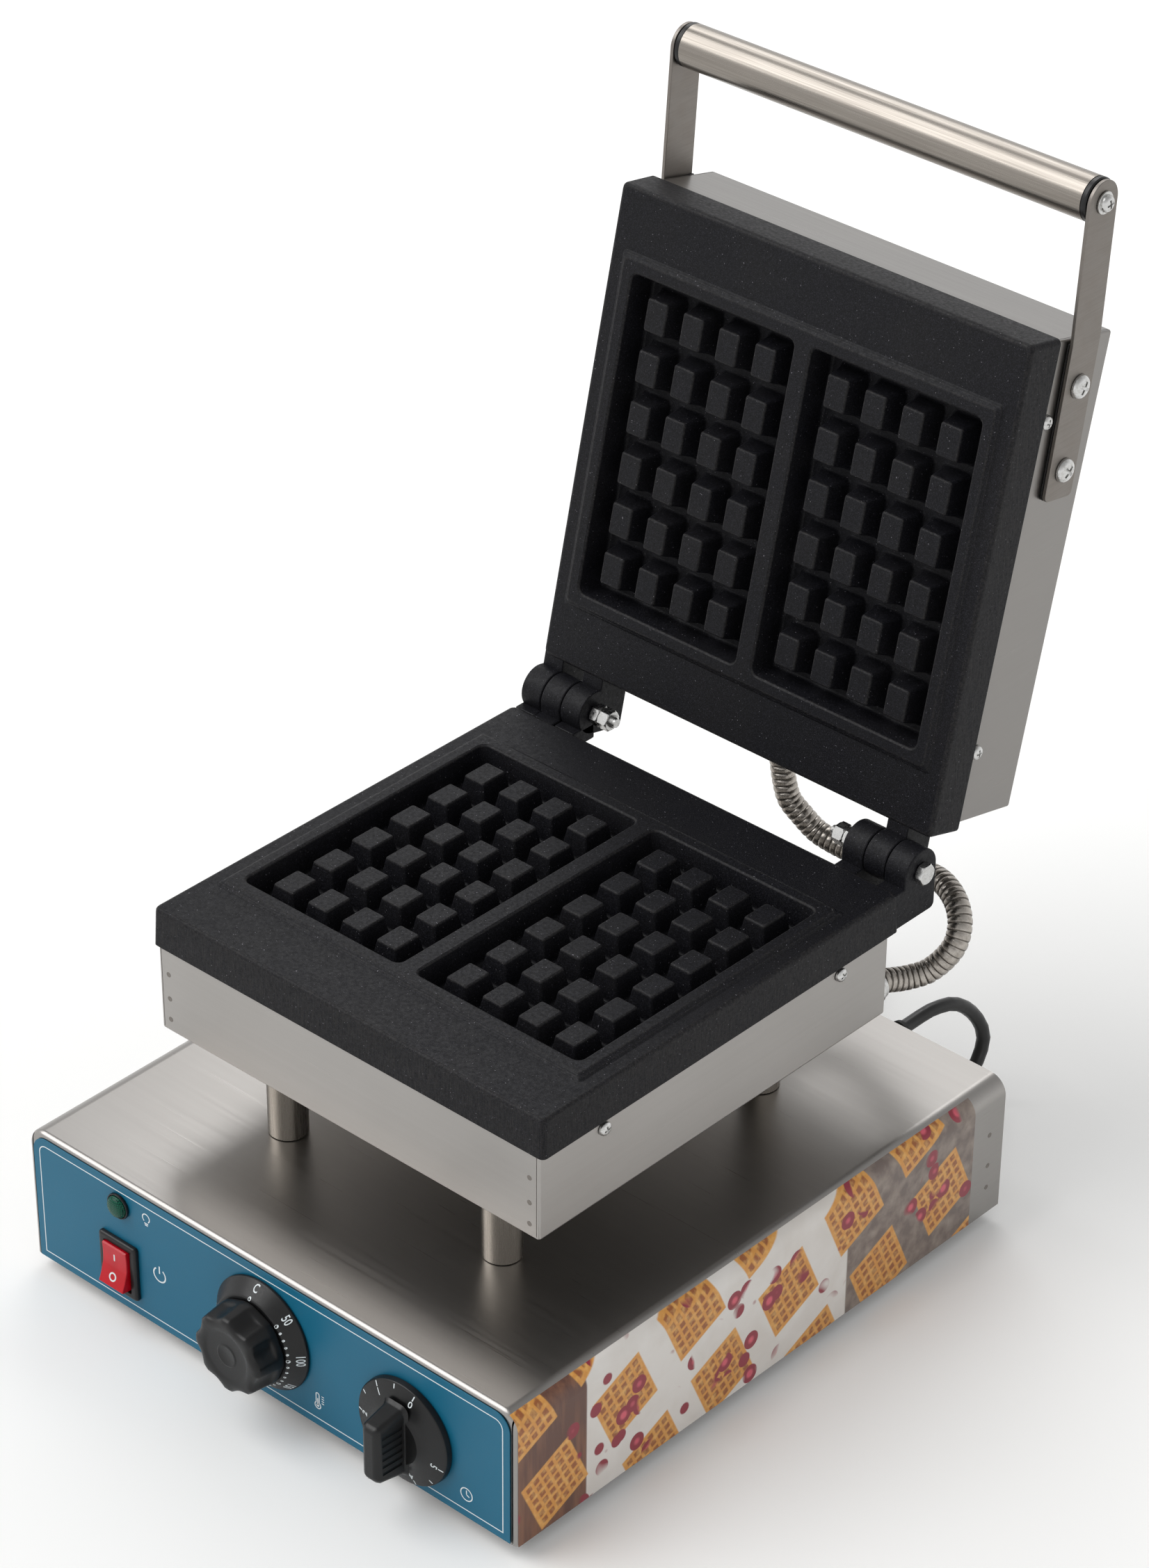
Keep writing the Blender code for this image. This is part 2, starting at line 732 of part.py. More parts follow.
def make_control_panel(machine):
    """Thin printed overlay with rounded top corners."""
    right = SIDE_X - PANEL_SIDE_MARGIN
    foot = FOOT_HEIGHT + PANEL_FOOT_MARGIN
    head = BASE_TOP - PANEL_HEAD_MARGIN
    corner = PANEL_CORNER
    points = [(-right, foot), (right, foot)]
    points += arc((right - corner, head - corner), corner, 0, math.pi / 2, BEND_STEPS)
    points += arc((-right + corner, head - corner), corner, math.pi / 2, math.pi, BEND_STEPS)
    outline(
        "control_panel",
        points,
        PANEL_THICKNESS,
        (0, FRONT_Y - GAP - PANEL_THICKNESS / 2, 0),
        FACE_FRONT,
        BLUE,
        machine,
        panel_holes(),
    )


def make_rear_pan(machine):
    """Rear wall whose flanges lie inside the cover."""
    half = SIDE_X - BASE_SHEET - GAP
    foot = FOOT_HEIGHT + BASE_SHEET + GAP
    head = BASE_TOP - BASE_SHEET - GAP
    bend = BASE_SIDE_BEND - BASE_SHEET - GAP
    pan = block(
        "rear_panel",
        (-half, REAR_Y - REAR_PAN_FLANGE, foot),
        (half, REAR_Y, head),
        STEEL,
        machine,
        rounds=(round_along(1, ((2, 1),), bend, BEND_STEPS),),
    )
    hollow = block(
        "rear_panel_hollow",
        (-half + BASE_SHEET, REAR_Y - REAR_PAN_FLANGE - OVERRUN, foot - OVERRUN),
        (half - BASE_SHEET, REAR_Y - BASE_SHEET, head - BASE_SHEET),
        parent=machine,
        rounds=(round_along(1, ((2, 1),), bend - BASE_SHEET, BEND_STEPS),),
    )
    hole = cylinder(
        "gland_hole",
        GLAND_NECK_RADIUS + GAP,
        BASE_SHEET + OVERRUN * 2,
        (CORD_EXIT_X, REAR_Y + OVERRUN, CORD_EXIT_Z),
        FACE_FRONT,
        parent=machine,
    )
    cut(pan, hollow, hole)


def make_bottom_plate(machine):
    half = SIDE_X - BASE_SHEET - GAP
    block(
        "bottom_plate",
        (-half, FRONT_Y + BASE_SHEET + GAP, FOOT_HEIGHT),
        (half, REAR_Y - GAP, FOOT_HEIGHT + BASE_SHEET),
        STEEL,
        machine,
    )


def make_feet(machine):
    height = FOOT_HEIGHT - GAP
    profile = [
        (0, height),
        (FOOT_RADIUS, height),
        (FOOT_RADIUS, height * FOOT_TAPER_START_SHARE),
        (FOOT_TIP_RADIUS, 0),
        (0, 0),
    ]
    for side, across in ((-1, "left"), (1, "right")):
        for end, along in ((-1, "front"), (1, "rear")):
            place = (side * (SIDE_X - FOOT_INSET), end * (REAR_Y - FOOT_INSET), 0)
            turned(f"foot_{along}_{across}", profile, place, FACE_UP, RUBBER, machine)


def make_posts(machine):
    """Four short tubes between the base and the lower housing."""
    length = POST_HEIGHT - GAP * 2
    inner = POST_RADIUS - POST_WALL
    profile = [(POST_RADIUS, length), (POST_RADIUS, 0), (inner, 0), (inner, length)]
    for side, across in ((-1, "left"), (1, "right")):
        for end, along in ((-1, "front"), (1, "rear")):
            x = POST_CENTRE_X + side * POST_SPACING_X / 2
            y = POST_CENTRE_Y + end * POST_SPACING_Y / 2
            name = f"post_{along}_{across}"
            turned(name, profile, (x, y, BASE_TOP + GAP), FACE_UP, TUBE_STEEL, machine, closed=True)


def make_housing(name, hinge, near_rise, height, reach, way):
    """An open sheet-metal box behind a plate. It grows by height along Z, up or down by way."""
    half = HOUSING_WIDTH / 2
    reach_near, reach_far = reach
    far_rise = near_rise + way * height
    low_z, high_z = sorted((near_rise, far_rise))
    housing = block(name, (-half, -reach_far, low_z), (half, -reach_near, high_z), STEEL, hinge)
    open_rise = near_rise - way * OVERRUN
    floor_rise = far_rise - way * HOUSING_SHEET
    low_z, high_z = sorted((open_rise, floor_rise))
    hollow = block(
        name + "_hollow",
        (-half + HOUSING_SHEET, -reach_far + HOUSING_SHEET, low_z),
        (half - HOUSING_SHEET, -reach_near - HOUSING_SHEET, high_z),
        parent=hinge,
    )
    cut(housing, hollow)
    for number, (side, screw_reach) in enumerate(side_screw_places()):
        facing = FACE_RIGHT if side > 0 else FACE_LEFT
        start_x = side * (half - HOUSING_SHEET - OVERRUN)
        hole = cylinder(
            f"{name}_screw_hole_{number}",
            SIDE_SCREW_RADIUS + GAP,
            HOUSING_SHEET + OVERRUN * 2,
            (start_x, -screw_reach, near_rise + way * side_screw_rise(way)),
            facing,
            parent=hinge,
            sides=COARSE_SIDES,
        )
        cut(housing, hole)
    return housing


def side_screw_places():
    return [(side, reach) for side in (-1, 1) for reach in (SIDE_SCREW_REACH_NEAR, SIDE_SCREW_REACH_FAR)]


def side_screw_rise(way):
    """How far the side screws lie from the open edge of a housing."""
    return LID_SIDE_SCREW_RISE if way > 0 else LOWER_SIDE_SCREW_RISE


def pan_screw_profile(head_radius, head_height, radius, length):
    """A domed head above zero and a plain shank below it."""
    head = [(head_radius * across, head_height * up) for across, up in SCREW_DOME_SHARES]
    return [*head, (radius, 0), (radius, -length), (0, -length)]


def make_side_screws(prefix, hinge, near_rise, way):
    profile = pan_screw_profile(
        SIDE_SCREW_HEAD_RADIUS, SIDE_SCREW_HEAD_HEIGHT, SIDE_SCREW_RADIUS, SIDE_SCREW_LENGTH
    )
    for side, reach in side_screw_places():
        across = "left" if side < 0 else "right"
        along = "rear" if reach == SIDE_SCREW_REACH_NEAR else "front"
        facing = FACE_RIGHT if side > 0 else FACE_LEFT
        place = (side * (HOUSING_WIDTH / 2 + GAP), -reach, near_rise + way * side_screw_rise(way))
        turned(
            f"{prefix}_screw_{along}_{across}", profile, place, facing, BRIGHT, hinge, sides=COARSE_SIDES
        )


def knuckle_ranges():
    """For each hinge side, the x ranges of the knuckles from the outer one inwards."""
    ranges = {}
    for side, word in ((-1, "left"), (1, "right")):
        spans = []
        for number in range(KNUCKLES):
            outer = HINGE_HALF_SPAN - number * KNUCKLE_PITCH
            spans.append(tuple(sorted((side * outer, side * (outer - KNUCKLE_WIDTH)))))
        ranges[word] = spans
    return ranges


def lug_outline(land_rise, way):
    """Side view of a hinge lug as (distance behind the axis, height): a knuckle on a full-depth block."""
    margin = land_rise + LAND_HEIGHT
    back = margin + PLATE_THICKNESS - LUG_LIFT
    root = -PLATE_REACH_NEAR - PLATE_EDGE_ROUND * 2
    edge = KNUCKLE_RADIUS
    points = [(root, back), (edge - LUG_CHAMFER, back), (edge, back - LUG_CHAMFER)]
    points += arc((0, 0), edge, 0, -math.pi, COARSE_SIDES)
    points += [(-edge, margin + GAP * 2), (root, margin + GAP * 2)]
    return [(along, way * height) for along, height in points]


def make_plate(name, hinge, land_rise, reach_far, way, lugs, heels):
    """A cast plate with two cavities of pegs, a raised land, hinge lugs and screw bosses.

    Heights grow away from the parting plane, so way is 1 for the lid's plate and -1 for the lower one.
    """
    margin = land_rise + LAND_HEIGHT
    back = margin + PLATE_THICKNESS
    bm = bmesh.new()
    foot = (0, -(PLATE_REACH_NEAR + reach_far) / 2, way * back)
    size = (PLATE_WIDTH, reach_far - PLATE_REACH_NEAR)
    tapered_block(bm, foot, size, PLATE_DRAFT, -way * PLATE_THICKNESS)
    middle_rise = (margin + back) / 2
    bevel_where(bm, PLATE_EDGE_ROUND, 2, lambda middle, along: abs(along[2]) > 0.9)
    bevel_where(
        bm,
        PLATE_EDGE_ROUND / 2,
        1,
        lambda middle, along: abs(along[2]) < 0.5 and middle[2] * way < middle_rise,
    )
    plate = new_part(name, finish_mesh(bm, name), IRON, parent=hinge)
    cavity_y = -(CAVITY_REACH + CAVITY_LENGTH / 2)
    cavity_x = DIVIDER_WIDTH / 2 + CAVITY_WIDTH / 2

    bm = bmesh.new()
    land_size = (
        DIVIDER_WIDTH + CAVITY_WIDTH * 2 + LAND_MARGIN * 2,
        CAVITY_LENGTH + LAND_MARGIN * 2,
    )
    land_foot = (0, cavity_y, way * (margin + OVERLAP))
    flare = LAND_SLOPE * (LAND_HEIGHT + OVERLAP) / LAND_HEIGHT
    tapered_block(bm, land_foot, land_size, flare, -way * (LAND_HEIGHT + OVERLAP), LAND_SLOPE, 2)
    add(plate, new_part(name + "_land", finish_mesh(bm, name + "_land"), parent=hinge))

    for number, (low_x, high_x) in enumerate(lugs):
        lug = outline(
            f"{name}_lug_{number}",
            lug_outline(land_rise, way),
            high_x - low_x,
            ((low_x + high_x) / 2, 0, 0),
            FACE_RIGHT,
            parent=hinge,
            holes=[arc((0, 0), BOLT_HOLE_RADIUS, 0, math.tau, ROUND_SIDES)[:-1]],
        )
        add(plate, lug)

    for number, (side, reach) in enumerate(side_screw_places()):
        outer = side * (HOUSING_WIDTH / 2 - HOUSING_SHEET - GAP)
        low_x, high_x = sorted((outer, outer - side * BOSS_WIDTH))
        low_z, high_z = sorted((way * (back - OVERLAP), way * (back + BOSS_HEIGHT)))
        boss = block(
            f"{name}_boss_{number}",
            (low_x, -reach - BOSS_LENGTH / 2, low_z),
            (high_x, -reach + BOSS_LENGTH / 2, high_z),
            parent=hinge,
        )
        add(plate, boss)

    for number, (low_x, high_x) in enumerate(heels):
        add(plate, make_heel(f"{name}_heel_{number}", hinge, low_x, high_x))

    bm = bmesh.new()
    depth = CAVITY_DEPTH + OVERRUN
    for side in (-1, 1):
        mouth = (side * cavity_x, cavity_y, way * (land_rise - OVERRUN))
        size = (CAVITY_WIDTH - CAVITY_DRAFT * 2, CAVITY_LENGTH - CAVITY_DRAFT * 2)
        widening = CAVITY_DRAFT * depth / CAVITY_DEPTH
        tapered_block(bm, mouth, size, widening, way * depth, CAVITY_CORNER, 3)
    cut(plate, new_part(name + "_cavities", finish_mesh(bm, name + "_cavities"), parent=hinge))

    bm = bmesh.new()
    peg_height = CAVITY_DEPTH - PEG_BELOW_LAND + OVERLAP
    for side in (-1, 1):
        for column in range(PEG_COLUMNS):
            for row in range(PEG_ROWS):
                x = side * cavity_x + (column - (PEG_COLUMNS - 1) / 2) * PEG_PITCH_X
                y = cavity_y + (row - (PEG_ROWS - 1) / 2) * PEG_PITCH_Y
                foot = (x, y, way * (land_rise + CAVITY_DEPTH + OVERLAP))
                peg = bmesh.new()
                tapered_block(peg, foot, (PEG_WIDTH, PEG_LENGTH), PEG_FLARE, -way * peg_height)
                far = foot[2] - way * peg_height
                near_far_end = peg_height / 4
                bevel_where(peg, PEG_BEVEL, 1, lambda middle, along: abs(middle[2] - far) < near_far_end)
                piece = bpy.data.meshes.new("peg")
                peg.to_mesh(piece)
                peg.free()
                bm.from_mesh(piece)
                bpy.data.meshes.remove(piece)
    add(plate, new_part(name + "_pegs", finish_mesh(bm, name + "_pegs"), parent=hinge))

    for number, (side, reach) in enumerate(side_screw_places()):
        start_x = side * (HOUSING_WIDTH / 2 - HOUSING_SHEET - GAP - SIDE_SCREW_LENGTH)
        hole = cylinder(
            f"{name}_tapped_hole_{number}",
            SIDE_SCREW_RADIUS + GAP,
            SIDE_SCREW_LENGTH + OVERRUN,
            (start_x, -reach, way * (back + GAP + side_screw_rise(way))),
            FACE_RIGHT if side > 0 else FACE_LEFT,
            parent=hinge,
            sides=COARSE_SIDES,
        )
        cut(plate, hole)
    return plate


def make_heel(name, hinge, low_x, high_x):
    """The stop of the lid: a nose below the knuckle that meets the lower plate's rear face when open.

    It is drawn as it stands in the open position and turned back with the lid.
    """
    face_y = -PLATE_REACH_NEAR + PLATE_DRAFT / 2 + GAP
    low = Vector((low_x, face_y, -HEEL_DROP - HEEL_HEIGHT))
    high = Vector((high_x, 0, -HEEL_DROP))
    heel = block(name, low, high, parent=hinge)
    turn_back = Matrix.Rotation(OPEN_ANGLE, 4, "X")
    heel.matrix_local = turn_back @ Matrix.Translation((low + high) / 2)
    return heel


def make_hinge_bolts(hinge):
    """A hexagon bolt through each set of knuckles, with a nut and a locknut on the inner side."""
    hex_radius = BOLT_HEAD_ACROSS / math.sqrt(3)
    stack = KNUCKLE_PITCH * KNUCKLES - KNUCKLE_GAP
    inner_x = HINGE_HALF_SPAN - stack
    for side, word in ((-1, "left"), (1, "right")):
        outward = FACE_RIGHT if side > 0 else FACE_LEFT
        inward = FACE_LEFT if side > 0 else FACE_RIGHT
        seat_x = side * (HINGE_HALF_SPAN + GAP)
        bolt = cylinder(
            f"hinge_bolt_{word}",
            hex_radius,
            BOLT_HEAD_HEIGHT,
            (seat_x, 0, 0),
            outward,
            BRIGHT,
            hinge,
            HEX_SIDES,
        )
        length = stack + GAP * 4 + NUT_HEIGHT + LOCKNUT_HEIGHT + BOLT_PROTRUSION
        shank_x = side * (HINGE_HALF_SPAN + GAP + OVERLAP)
        shank = cylinder(
            f"hinge_bolt_shank_{word}",
            BOLT_RADIUS,
            length,
            (shank_x, 0, 0),
            inward,
            parent=hinge,
            sides=SCREW_SIDES,
        )
        add(bolt, shank)
        nut_x = side * (inner_x - GAP)
        locknut_x = side * (inner_x - GAP * 2 - NUT_HEIGHT)
        for kind, start_x, height in (("nut", nut_x, NUT_HEIGHT), ("locknut", locknut_x, LOCKNUT_HEIGHT)):
            nut = cylinder(
                f"hinge_{kind}_{word}", hex_radius, height, (start_x, 0, 0), inward, BRIGHT, hinge, HEX_SIDES
            )
            hole_x = start_x + side * OVERRUN
            hole = cylinder(
                f"hinge_{kind}_hole_{word}",
                BOLT_RADIUS + GAP,
                height + OVERRUN * 2,
                (hole_x, 0, 0),
                inward,
                parent=hinge,
                sides=SCREW_SIDES,
            )
            cut(nut, hole)


def strap_line():
    """The middle line of a strap on the closed lid, as (y, z) at the tube, the bend and the lower end."""
    return [
        Vector((-HANDLE_REACH, HANDLE_RISE)),
        Vector((-STRAP_BEND_REACH, STRAP_BEND_RISE)),
        Vector((-STRAP_END_REACH, STRAP_END_RISE)),
    ]


def strap_hole_places():
    """Middles of the two screw holes, on the part of a strap that lies against the housing."""
    _, bend, end = strap_line()
    return [bend.lerp(end, share) for share in STRAP_HOLE_SHARES]


def strap_outline(whole):
    """Outline of a strap, or only of the part below its bend, as (y, z) points."""
    half = STRAP_WIDTH / 2
    top, bend, end = strap_line()
    upper = (bend - top).normalized()
    lower = (end - bend).normalized()
    upper_side = Vector((-upper[1], upper[0]))
    lower_side = Vector((-lower[1], lower[0]))
    mitre = (upper_side + lower_side) / (1 + upper_side.dot(lower_side))
    points = []
    if whole:
        start = math.atan2(upper_side[1], upper_side[0])
        points += arc(top, half, start, start + math.pi, COARSE_SIDES)
    points.append(tuple(bend - mitre * half))
    for corner, first, second in (
        (end - lower_side * half, -lower, lower_side),
        (end + lower_side * half, -lower_side, -lower),
    ):
        for step in range(CORNER_STEPS + 1):
            angle = math.pi / 2 * step / CORNER_STEPS
            centre = corner + (first + second) * STRAP_CORNER
            spoke = -second * math.cos(angle) - first * math.sin(angle)
            points.append(tuple(centre + spoke * STRAP_CORNER))
    points.append(tuple(bend + mitre * half))
    return points


def make_handle(hinge):
    top = strap_line()[0]
    screw_holes = [
        arc(place, STRAP_SCREW_RADIUS + GAP, 0, math.tau, SCREW_SIDES)[:-1] for place in strap_hole_places()
    ]
    end_hole = arc(top, END_SCREW_RADIUS + GAP, 0, math.tau, SCREW_SIDES)[:-1]
    strap_screw = pan_screw_profile(
        STRAP_SCREW_HEAD_RADIUS, STRAP_SCREW_HEAD_HEIGHT, STRAP_SCREW_RADIUS, STRAP_SCREW_LENGTH
    )
    end_screw = pan_screw_profile(
        END_SCREW_HEAD_RADIUS, END_SCREW_HEAD_HEIGHT, END_SCREW_RADIUS, END_SCREW_LENGTH
    )
    for side, word in ((-1, "left"), (1, "right")):
        outward = FACE_RIGHT if side > 0 else FACE_LEFT
        outline(
            f"handle_strap_{word}",
            strap_outline(True),
            STRAP_THICKNESS,
            (side * (STRAP_INNER_X + STRAP_THICKNESS / 2), 0, 0),
            FACE_RIGHT,
            STEEL,
            hinge,
            [end_hole, *screw_holes],
        )
        outline(
            f"strap_spacer_{word}",
            strap_outline(False),
            STRAP_SPACER,
            (side * (HOUSING_WIDTH / 2 + GAP + STRAP_SPACER / 2), 0, 0),
            FACE_RIGHT,
            RUBBER,
            hinge,
            screw_holes,
        )
        seat_x = side * (STRAP_OUTER_X + GAP)
        for number, (y, z) in enumerate(strap_hole_places(), 1):
            name = f"strap_screw_{word}_{number}"
            turned(name, strap_screw, (seat_x, y, z), outward, BRIGHT, hinge, sides=SCREW_SIDES)
        name = f"handle_end_screw_{word}"
        turned(name, end_screw, (seat_x, top[0], top[1]), outward, BRIGHT, hinge, sides=SCREW_SIDES)
    make_handle_tube(hinge)


def make_handle_tube(hinge):
    end_y, end_z = strap_line()[0]
    half = STRAP_INNER_X - HANDLE_TUBE_GAP
    grip = cylinder(
        "handle_tube",
        HANDLE_TUBE_RADIUS,
        half * 2,
        (-half, end_y, end_z),
        FACE_RIGHT,
        TUBE_STEEL,
        hinge,
        sides=FINE_SIDES,
    )
    for side, word in ((-1, "left"), (1, "right")):
        hole = cylinder(
            f"handle_tube_hole_{word}",
            END_SCREW_RADIUS + GAP,
            END_SCREW_LENGTH + OVERRUN,
            (side * (half + OVERRUN), end_y, end_z),
            FACE_LEFT if side > 0 else FACE_RIGHT,
            parent=hinge,
            sides=SCREW_SIDES,
        )
        cut(grip, hole)


def cut_strap_holes(housing, hinge):
    """Clearance holes in the lid housing for the screws of the handle straps."""
    for side, word in ((-1, "left"), (1, "right")):
        for number, (y, z) in enumerate(strap_hole_places(), 1):
            hole = cylinder(
                f"strap_hole_{word}_{number}",
                STRAP_SCREW_RADIUS + GAP,
                HOUSING_SHEET + OVERRUN * 2,
                (side * (HOUSING_WIDTH / 2 - HOUSING_SHEET - OVERRUN), y, z),
                FACE_RIGHT if side > 0 else FACE_LEFT,
                parent=hinge,
                sides=SCREW_SIDES,
            )
            cut(housing, hole)


def make_element(name, hinge, back_rise, way):
    """A tubular heater bent to and fro behind a plate."""
    z = way * (back_rise + GAP + ELEMENT_RADIUS)
    bend = ELEMENT_RUN_PITCH / 2
    near = ELEMENT_REACH_NEAR + bend
    far = ELEMENT_REACH_FAR - bend
    first_x = -(ELEMENT_RUNS - 1) * ELEMENT_RUN_PITCH / 2
    points = []
    for run in range(ELEMENT_RUNS):
        x = first_x + run * ELEMENT_RUN_PITCH
        heads_out = run % 2 == 0
        start, end = (near, far) if heads_out else (far, near)
        points += [(x, -start), (x, -end)]
        if run < ELEMENT_RUNS - 1:
            half_turn = math.pi if heads_out else -math.pi
            around = arc((x + bend, -end), bend, math.pi, math.pi + half_turn, ELEMENT_ARC_STEPS)
            points += around[1:-1]
    route = [Vector((x, y, z)) for x, y in points]
    tube(name, route, ELEMENT_RADIUS, 1, ELEMENT, hinge)


def make_lamp(machine):
    """Round bezel with a body behind the panel, and a domed lens seated in it."""
    rim = LAMP_RIM
    seat = rim - LAMP_SEAT_DEPTH
    seat_radius = LAMP_RADIUS - LAMP_SEAT_WALL
    bezel_profile = [
        (LAMP_RADIUS - LAMP_WALL, rim),
        (LAMP_RADIUS, rim * LAMP_RIM_SHOULDER_SHARE),
        (LAMP_RADIUS, 0),
        (LAMP_BODY_RADIUS, 0),
        (LAMP_BODY_RADIUS, -LAMP_BODY_LENGTH),
        (0, -LAMP_BODY_LENGTH),
        (0, seat),
        (seat_radius, seat),
        (seat_radius, rim),
    ]
    place = (LAMP_X, PANEL_FACE_Y - GAP, LAMP_Z)
    turned("pilot_lamp_bezel", bezel_profile, place, FACE_FRONT, BLACK, machine, closed=True)
    lens_radius = seat_radius - GAP
    lens_seat = seat + GAP
    dome = [(lens_radius * across, lens_seat + LENS_DOME * up) for across, up in LENS_DOME_SHARES]
    lens_profile = [*dome, (lens_radius, lens_seat), (0, lens_seat)]
    turned("pilot_lamp_lens", lens_profile, place, FACE_FRONT, GREEN, machine)


def make_switch(machine):
    """Snap-in frame with a well, and a rocker that pivots in it."""
    face_y = PANEL_FACE_Y - GAP
    half_w, half_h = SWITCH_WIDTH / 2, SWITCH_HEIGHT / 2
    frame = block(
        "switch_frame",
        (SWITCH_X - half_w, face_y - SWITCH_LIP, SWITCH_Z - half_h),
        (SWITCH_X + half_w, face_y, SWITCH_Z + half_h),
        BLACK,
        machine,
        rounds=((SWITCH_LIP / 2, 2, lambda middle, along: middle[1] < 0 and abs(along[1]) < 0.9),),
    )
    inner_w, inner_h = half_w - SWITCH_RIM, half_h - SWITCH_RIM
    body = block(
        "switch_body",
        (SWITCH_X - inner_w, face_y - OVERLAP, SWITCH_Z - inner_h),
        (SWITCH_X + inner_w, face_y + SWITCH_BODY_DEPTH, SWITCH_Z + inner_h),
        parent=machine,
    )
    well_w, well_h = ROCKER_WIDTH / 2 + GAP, ROCKER_HEIGHT / 2 + GAP * 2
    well = block(
        "switch_well",
        (SWITCH_X - well_w, face_y - SWITCH_LIP - OVERRUN, SWITCH_Z - well_h),
        (SWITCH_X + well_w, face_y + ROCKER_WELL, SWITCH_Z + well_h),
        parent=machine,
    )
    add(frame, body)
    cut(frame, well)
    make_rocker(machine, face_y)


def make_rocker(machine, face_y):
    """Side view of the rocker about its pivot: a shallow V in front, a rounded heel behind."""
    place = (SWITCH_X, face_y + ROCKER_PIVOT_DEPTH, SWITCH_Z)
    pivot = new_empty("rocker_pivot", place, (0, 0, 0), machine)
    half = ROCKER_HEIGHT / 2 - GAP
    front = ROCKER_PIVOT_DEPTH + SWITCH_LIP + ROCKER_PROUD
    slope = math.tan(ROCKER_TILT)
    points = [
        (-(front + half * slope), half),
        (-front, 0),
        (-(front + half * slope), -half),
        (0, -half * ROCKER_BACK_SHARE),
    ]
    sweep = ROCKER_HEEL_SWEEP / 2
    points += arc((0, 0), half * ROCKER_HEEL_SHARE, -sweep, sweep, BEND_STEPS)
    points += [(0, half * ROCKER_BACK_SHARE)]
    width = ROCKER_WIDTH - GAP * 2
    rocker = outline("switch_rocker", points, width, (0, 0, 0), FACE_RIGHT, RED, pivot)
    tilt = Matrix.Rotation(-ROCKER_TILT, 3, "X")
    rocker.rotation_euler = (tilt @ Euler(FACE_RIGHT).to_matrix()).to_euler()


def make_control_body(name, x, z, width, depth, machine):
    """What a knob turns: a case behind the front sheet, its bush and its shaft."""
    inside_y = FRONT_Y + BASE_SHEET + GAP
    low = (x - width / 2, inside_y, z - width / 2)
    high = (x + width / 2, inside_y + depth, z + width / 2)
    case = block(name, low, high, BLACK, machine)
    bush = cylinder(
        name + "_bush",
        SHAFT_BUSH_RADIUS,
        inside_y - PANEL_FACE_Y + OVERLAP,
        (x, inside_y + OVERLAP, z),
        FACE_FRONT,
        parent=machine,
        sides=SCREW_SIDES,
    )
    shaft = cylinder(
        name + "_shaft",
        SHAFT_RADIUS,
        inside_y - PANEL_FACE_Y + SHAFT_REACH,
        (x, inside_y + OVERLAP, z),
        FACE_FRONT,
        parent=machine,
        sides=SCREW_SIDES,
    )
    add(case, bush, shaft)


def skirt_profile(skirt_radius, shoulder_radius, depth):
    """A conical skirt on its back face, with a bore for the shaft."""
    bore = SHAFT_RADIUS + GAP
    return [
        (bore, depth),
        (shoulder_radius, depth),
        (skirt_radius - OVERLAP / 2, OVERLAP),
        (skirt_radius, 0),
        (bore, 0),
    ]


def make_thermostat(machine):
    make_control_body(
        "thermostat_body", THERMOSTAT_X, THERMOSTAT_Z, THERMOSTAT_BODY_WIDTH, THERMOSTAT_BODY_DEPTH, machine
    )
    place = (THERMOSTAT_X, PANEL_FACE_Y - GAP, THERMOSTAT_Z)
    profile = skirt_profile(THERMOSTAT_SKIRT_RADIUS, THERMOSTAT_SHOULDER_RADIUS, THERMOSTAT_SKIRT_DEPTH)
    turned("thermostat_dial", profile, place, FACE_FRONT, BLACK, machine, sides=FINE_SIDES, closed=True)

    grip_place = (THERMOSTAT_X, PANEL_FACE_Y - GAP * 2 - THERMOSTAT_SKIRT_DEPTH, THERMOSTAT_Z)
    bm = bmesh.new()
    bmesh.ops.create_cone(
        bm,
        cap_ends=True,
        segments=FINE_SIDES,
        radius1=THERMOSTAT_GRIP_RADIUS,
        radius2=THERMOSTAT_GRIP_RADIUS * GRIP_TAPER_SHARE,
        depth=THERMOSTAT_GRIP_DEPTH,
        matrix=Matrix.Translation((0, 0, THERMOSTAT_GRIP_DEPTH / 2)),
    )
    grip_mesh = finish_mesh(bm, "thermostat_knob")
    knob = new_part("thermostat_knob", grip_mesh, BLACK, grip_place, FACE_FRONT, machine)
    flute_circle = THERMOSTAT_GRIP_RADIUS + GRIP_FLUTE_RADIUS - GRIP_FLUTE_DEPTH
    for number in range(GRIP_FLUTES):
        angle = math.tau * (number + 0.5) / GRIP_FLUTES
        place = (
            grip_place[0] + flute_circle * math.cos(angle),
            grip_place[1] + OVERRUN,
            grip_place[2] + flute_circle * math.sin(angle),
        )
        flute = cylinder(
            f"grip_flute_{number}",
            GRIP_FLUTE_RADIUS,
            THERMOSTAT_GRIP_DEPTH + OVERRUN * 2,
            place,
            FACE_FRONT,
            parent=machine,
            sides=FLUTE_SIDES,
        )
        cut(knob, flute)
    socket_depth = SHAFT_REACH - THERMOSTAT_SKIRT_DEPTH + OVERRUN
    socket = cylinder(
        "grip_socket",
        SHAFT_RADIUS + GAP,
        socket_depth + OVERRUN,
        (grip_place[0], grip_place[1] + OVERRUN, grip_place[2]),
        FACE_FRONT,
        parent=machine,
        sides=SCREW_SIDES,
    )
    dimple = cylinder(
        "grip_dimple",
        GRIP_DIMPLE_RADIUS,
        GRIP_DIMPLE_DEPTH + OVERRUN,
        (grip_place[0], THERMOSTAT_FRONT_Y + GRIP_DIMPLE_DEPTH, grip_place[2]),
        FACE_FRONT,
        parent=machine,
    )
    cut(knob, socket, dimple)


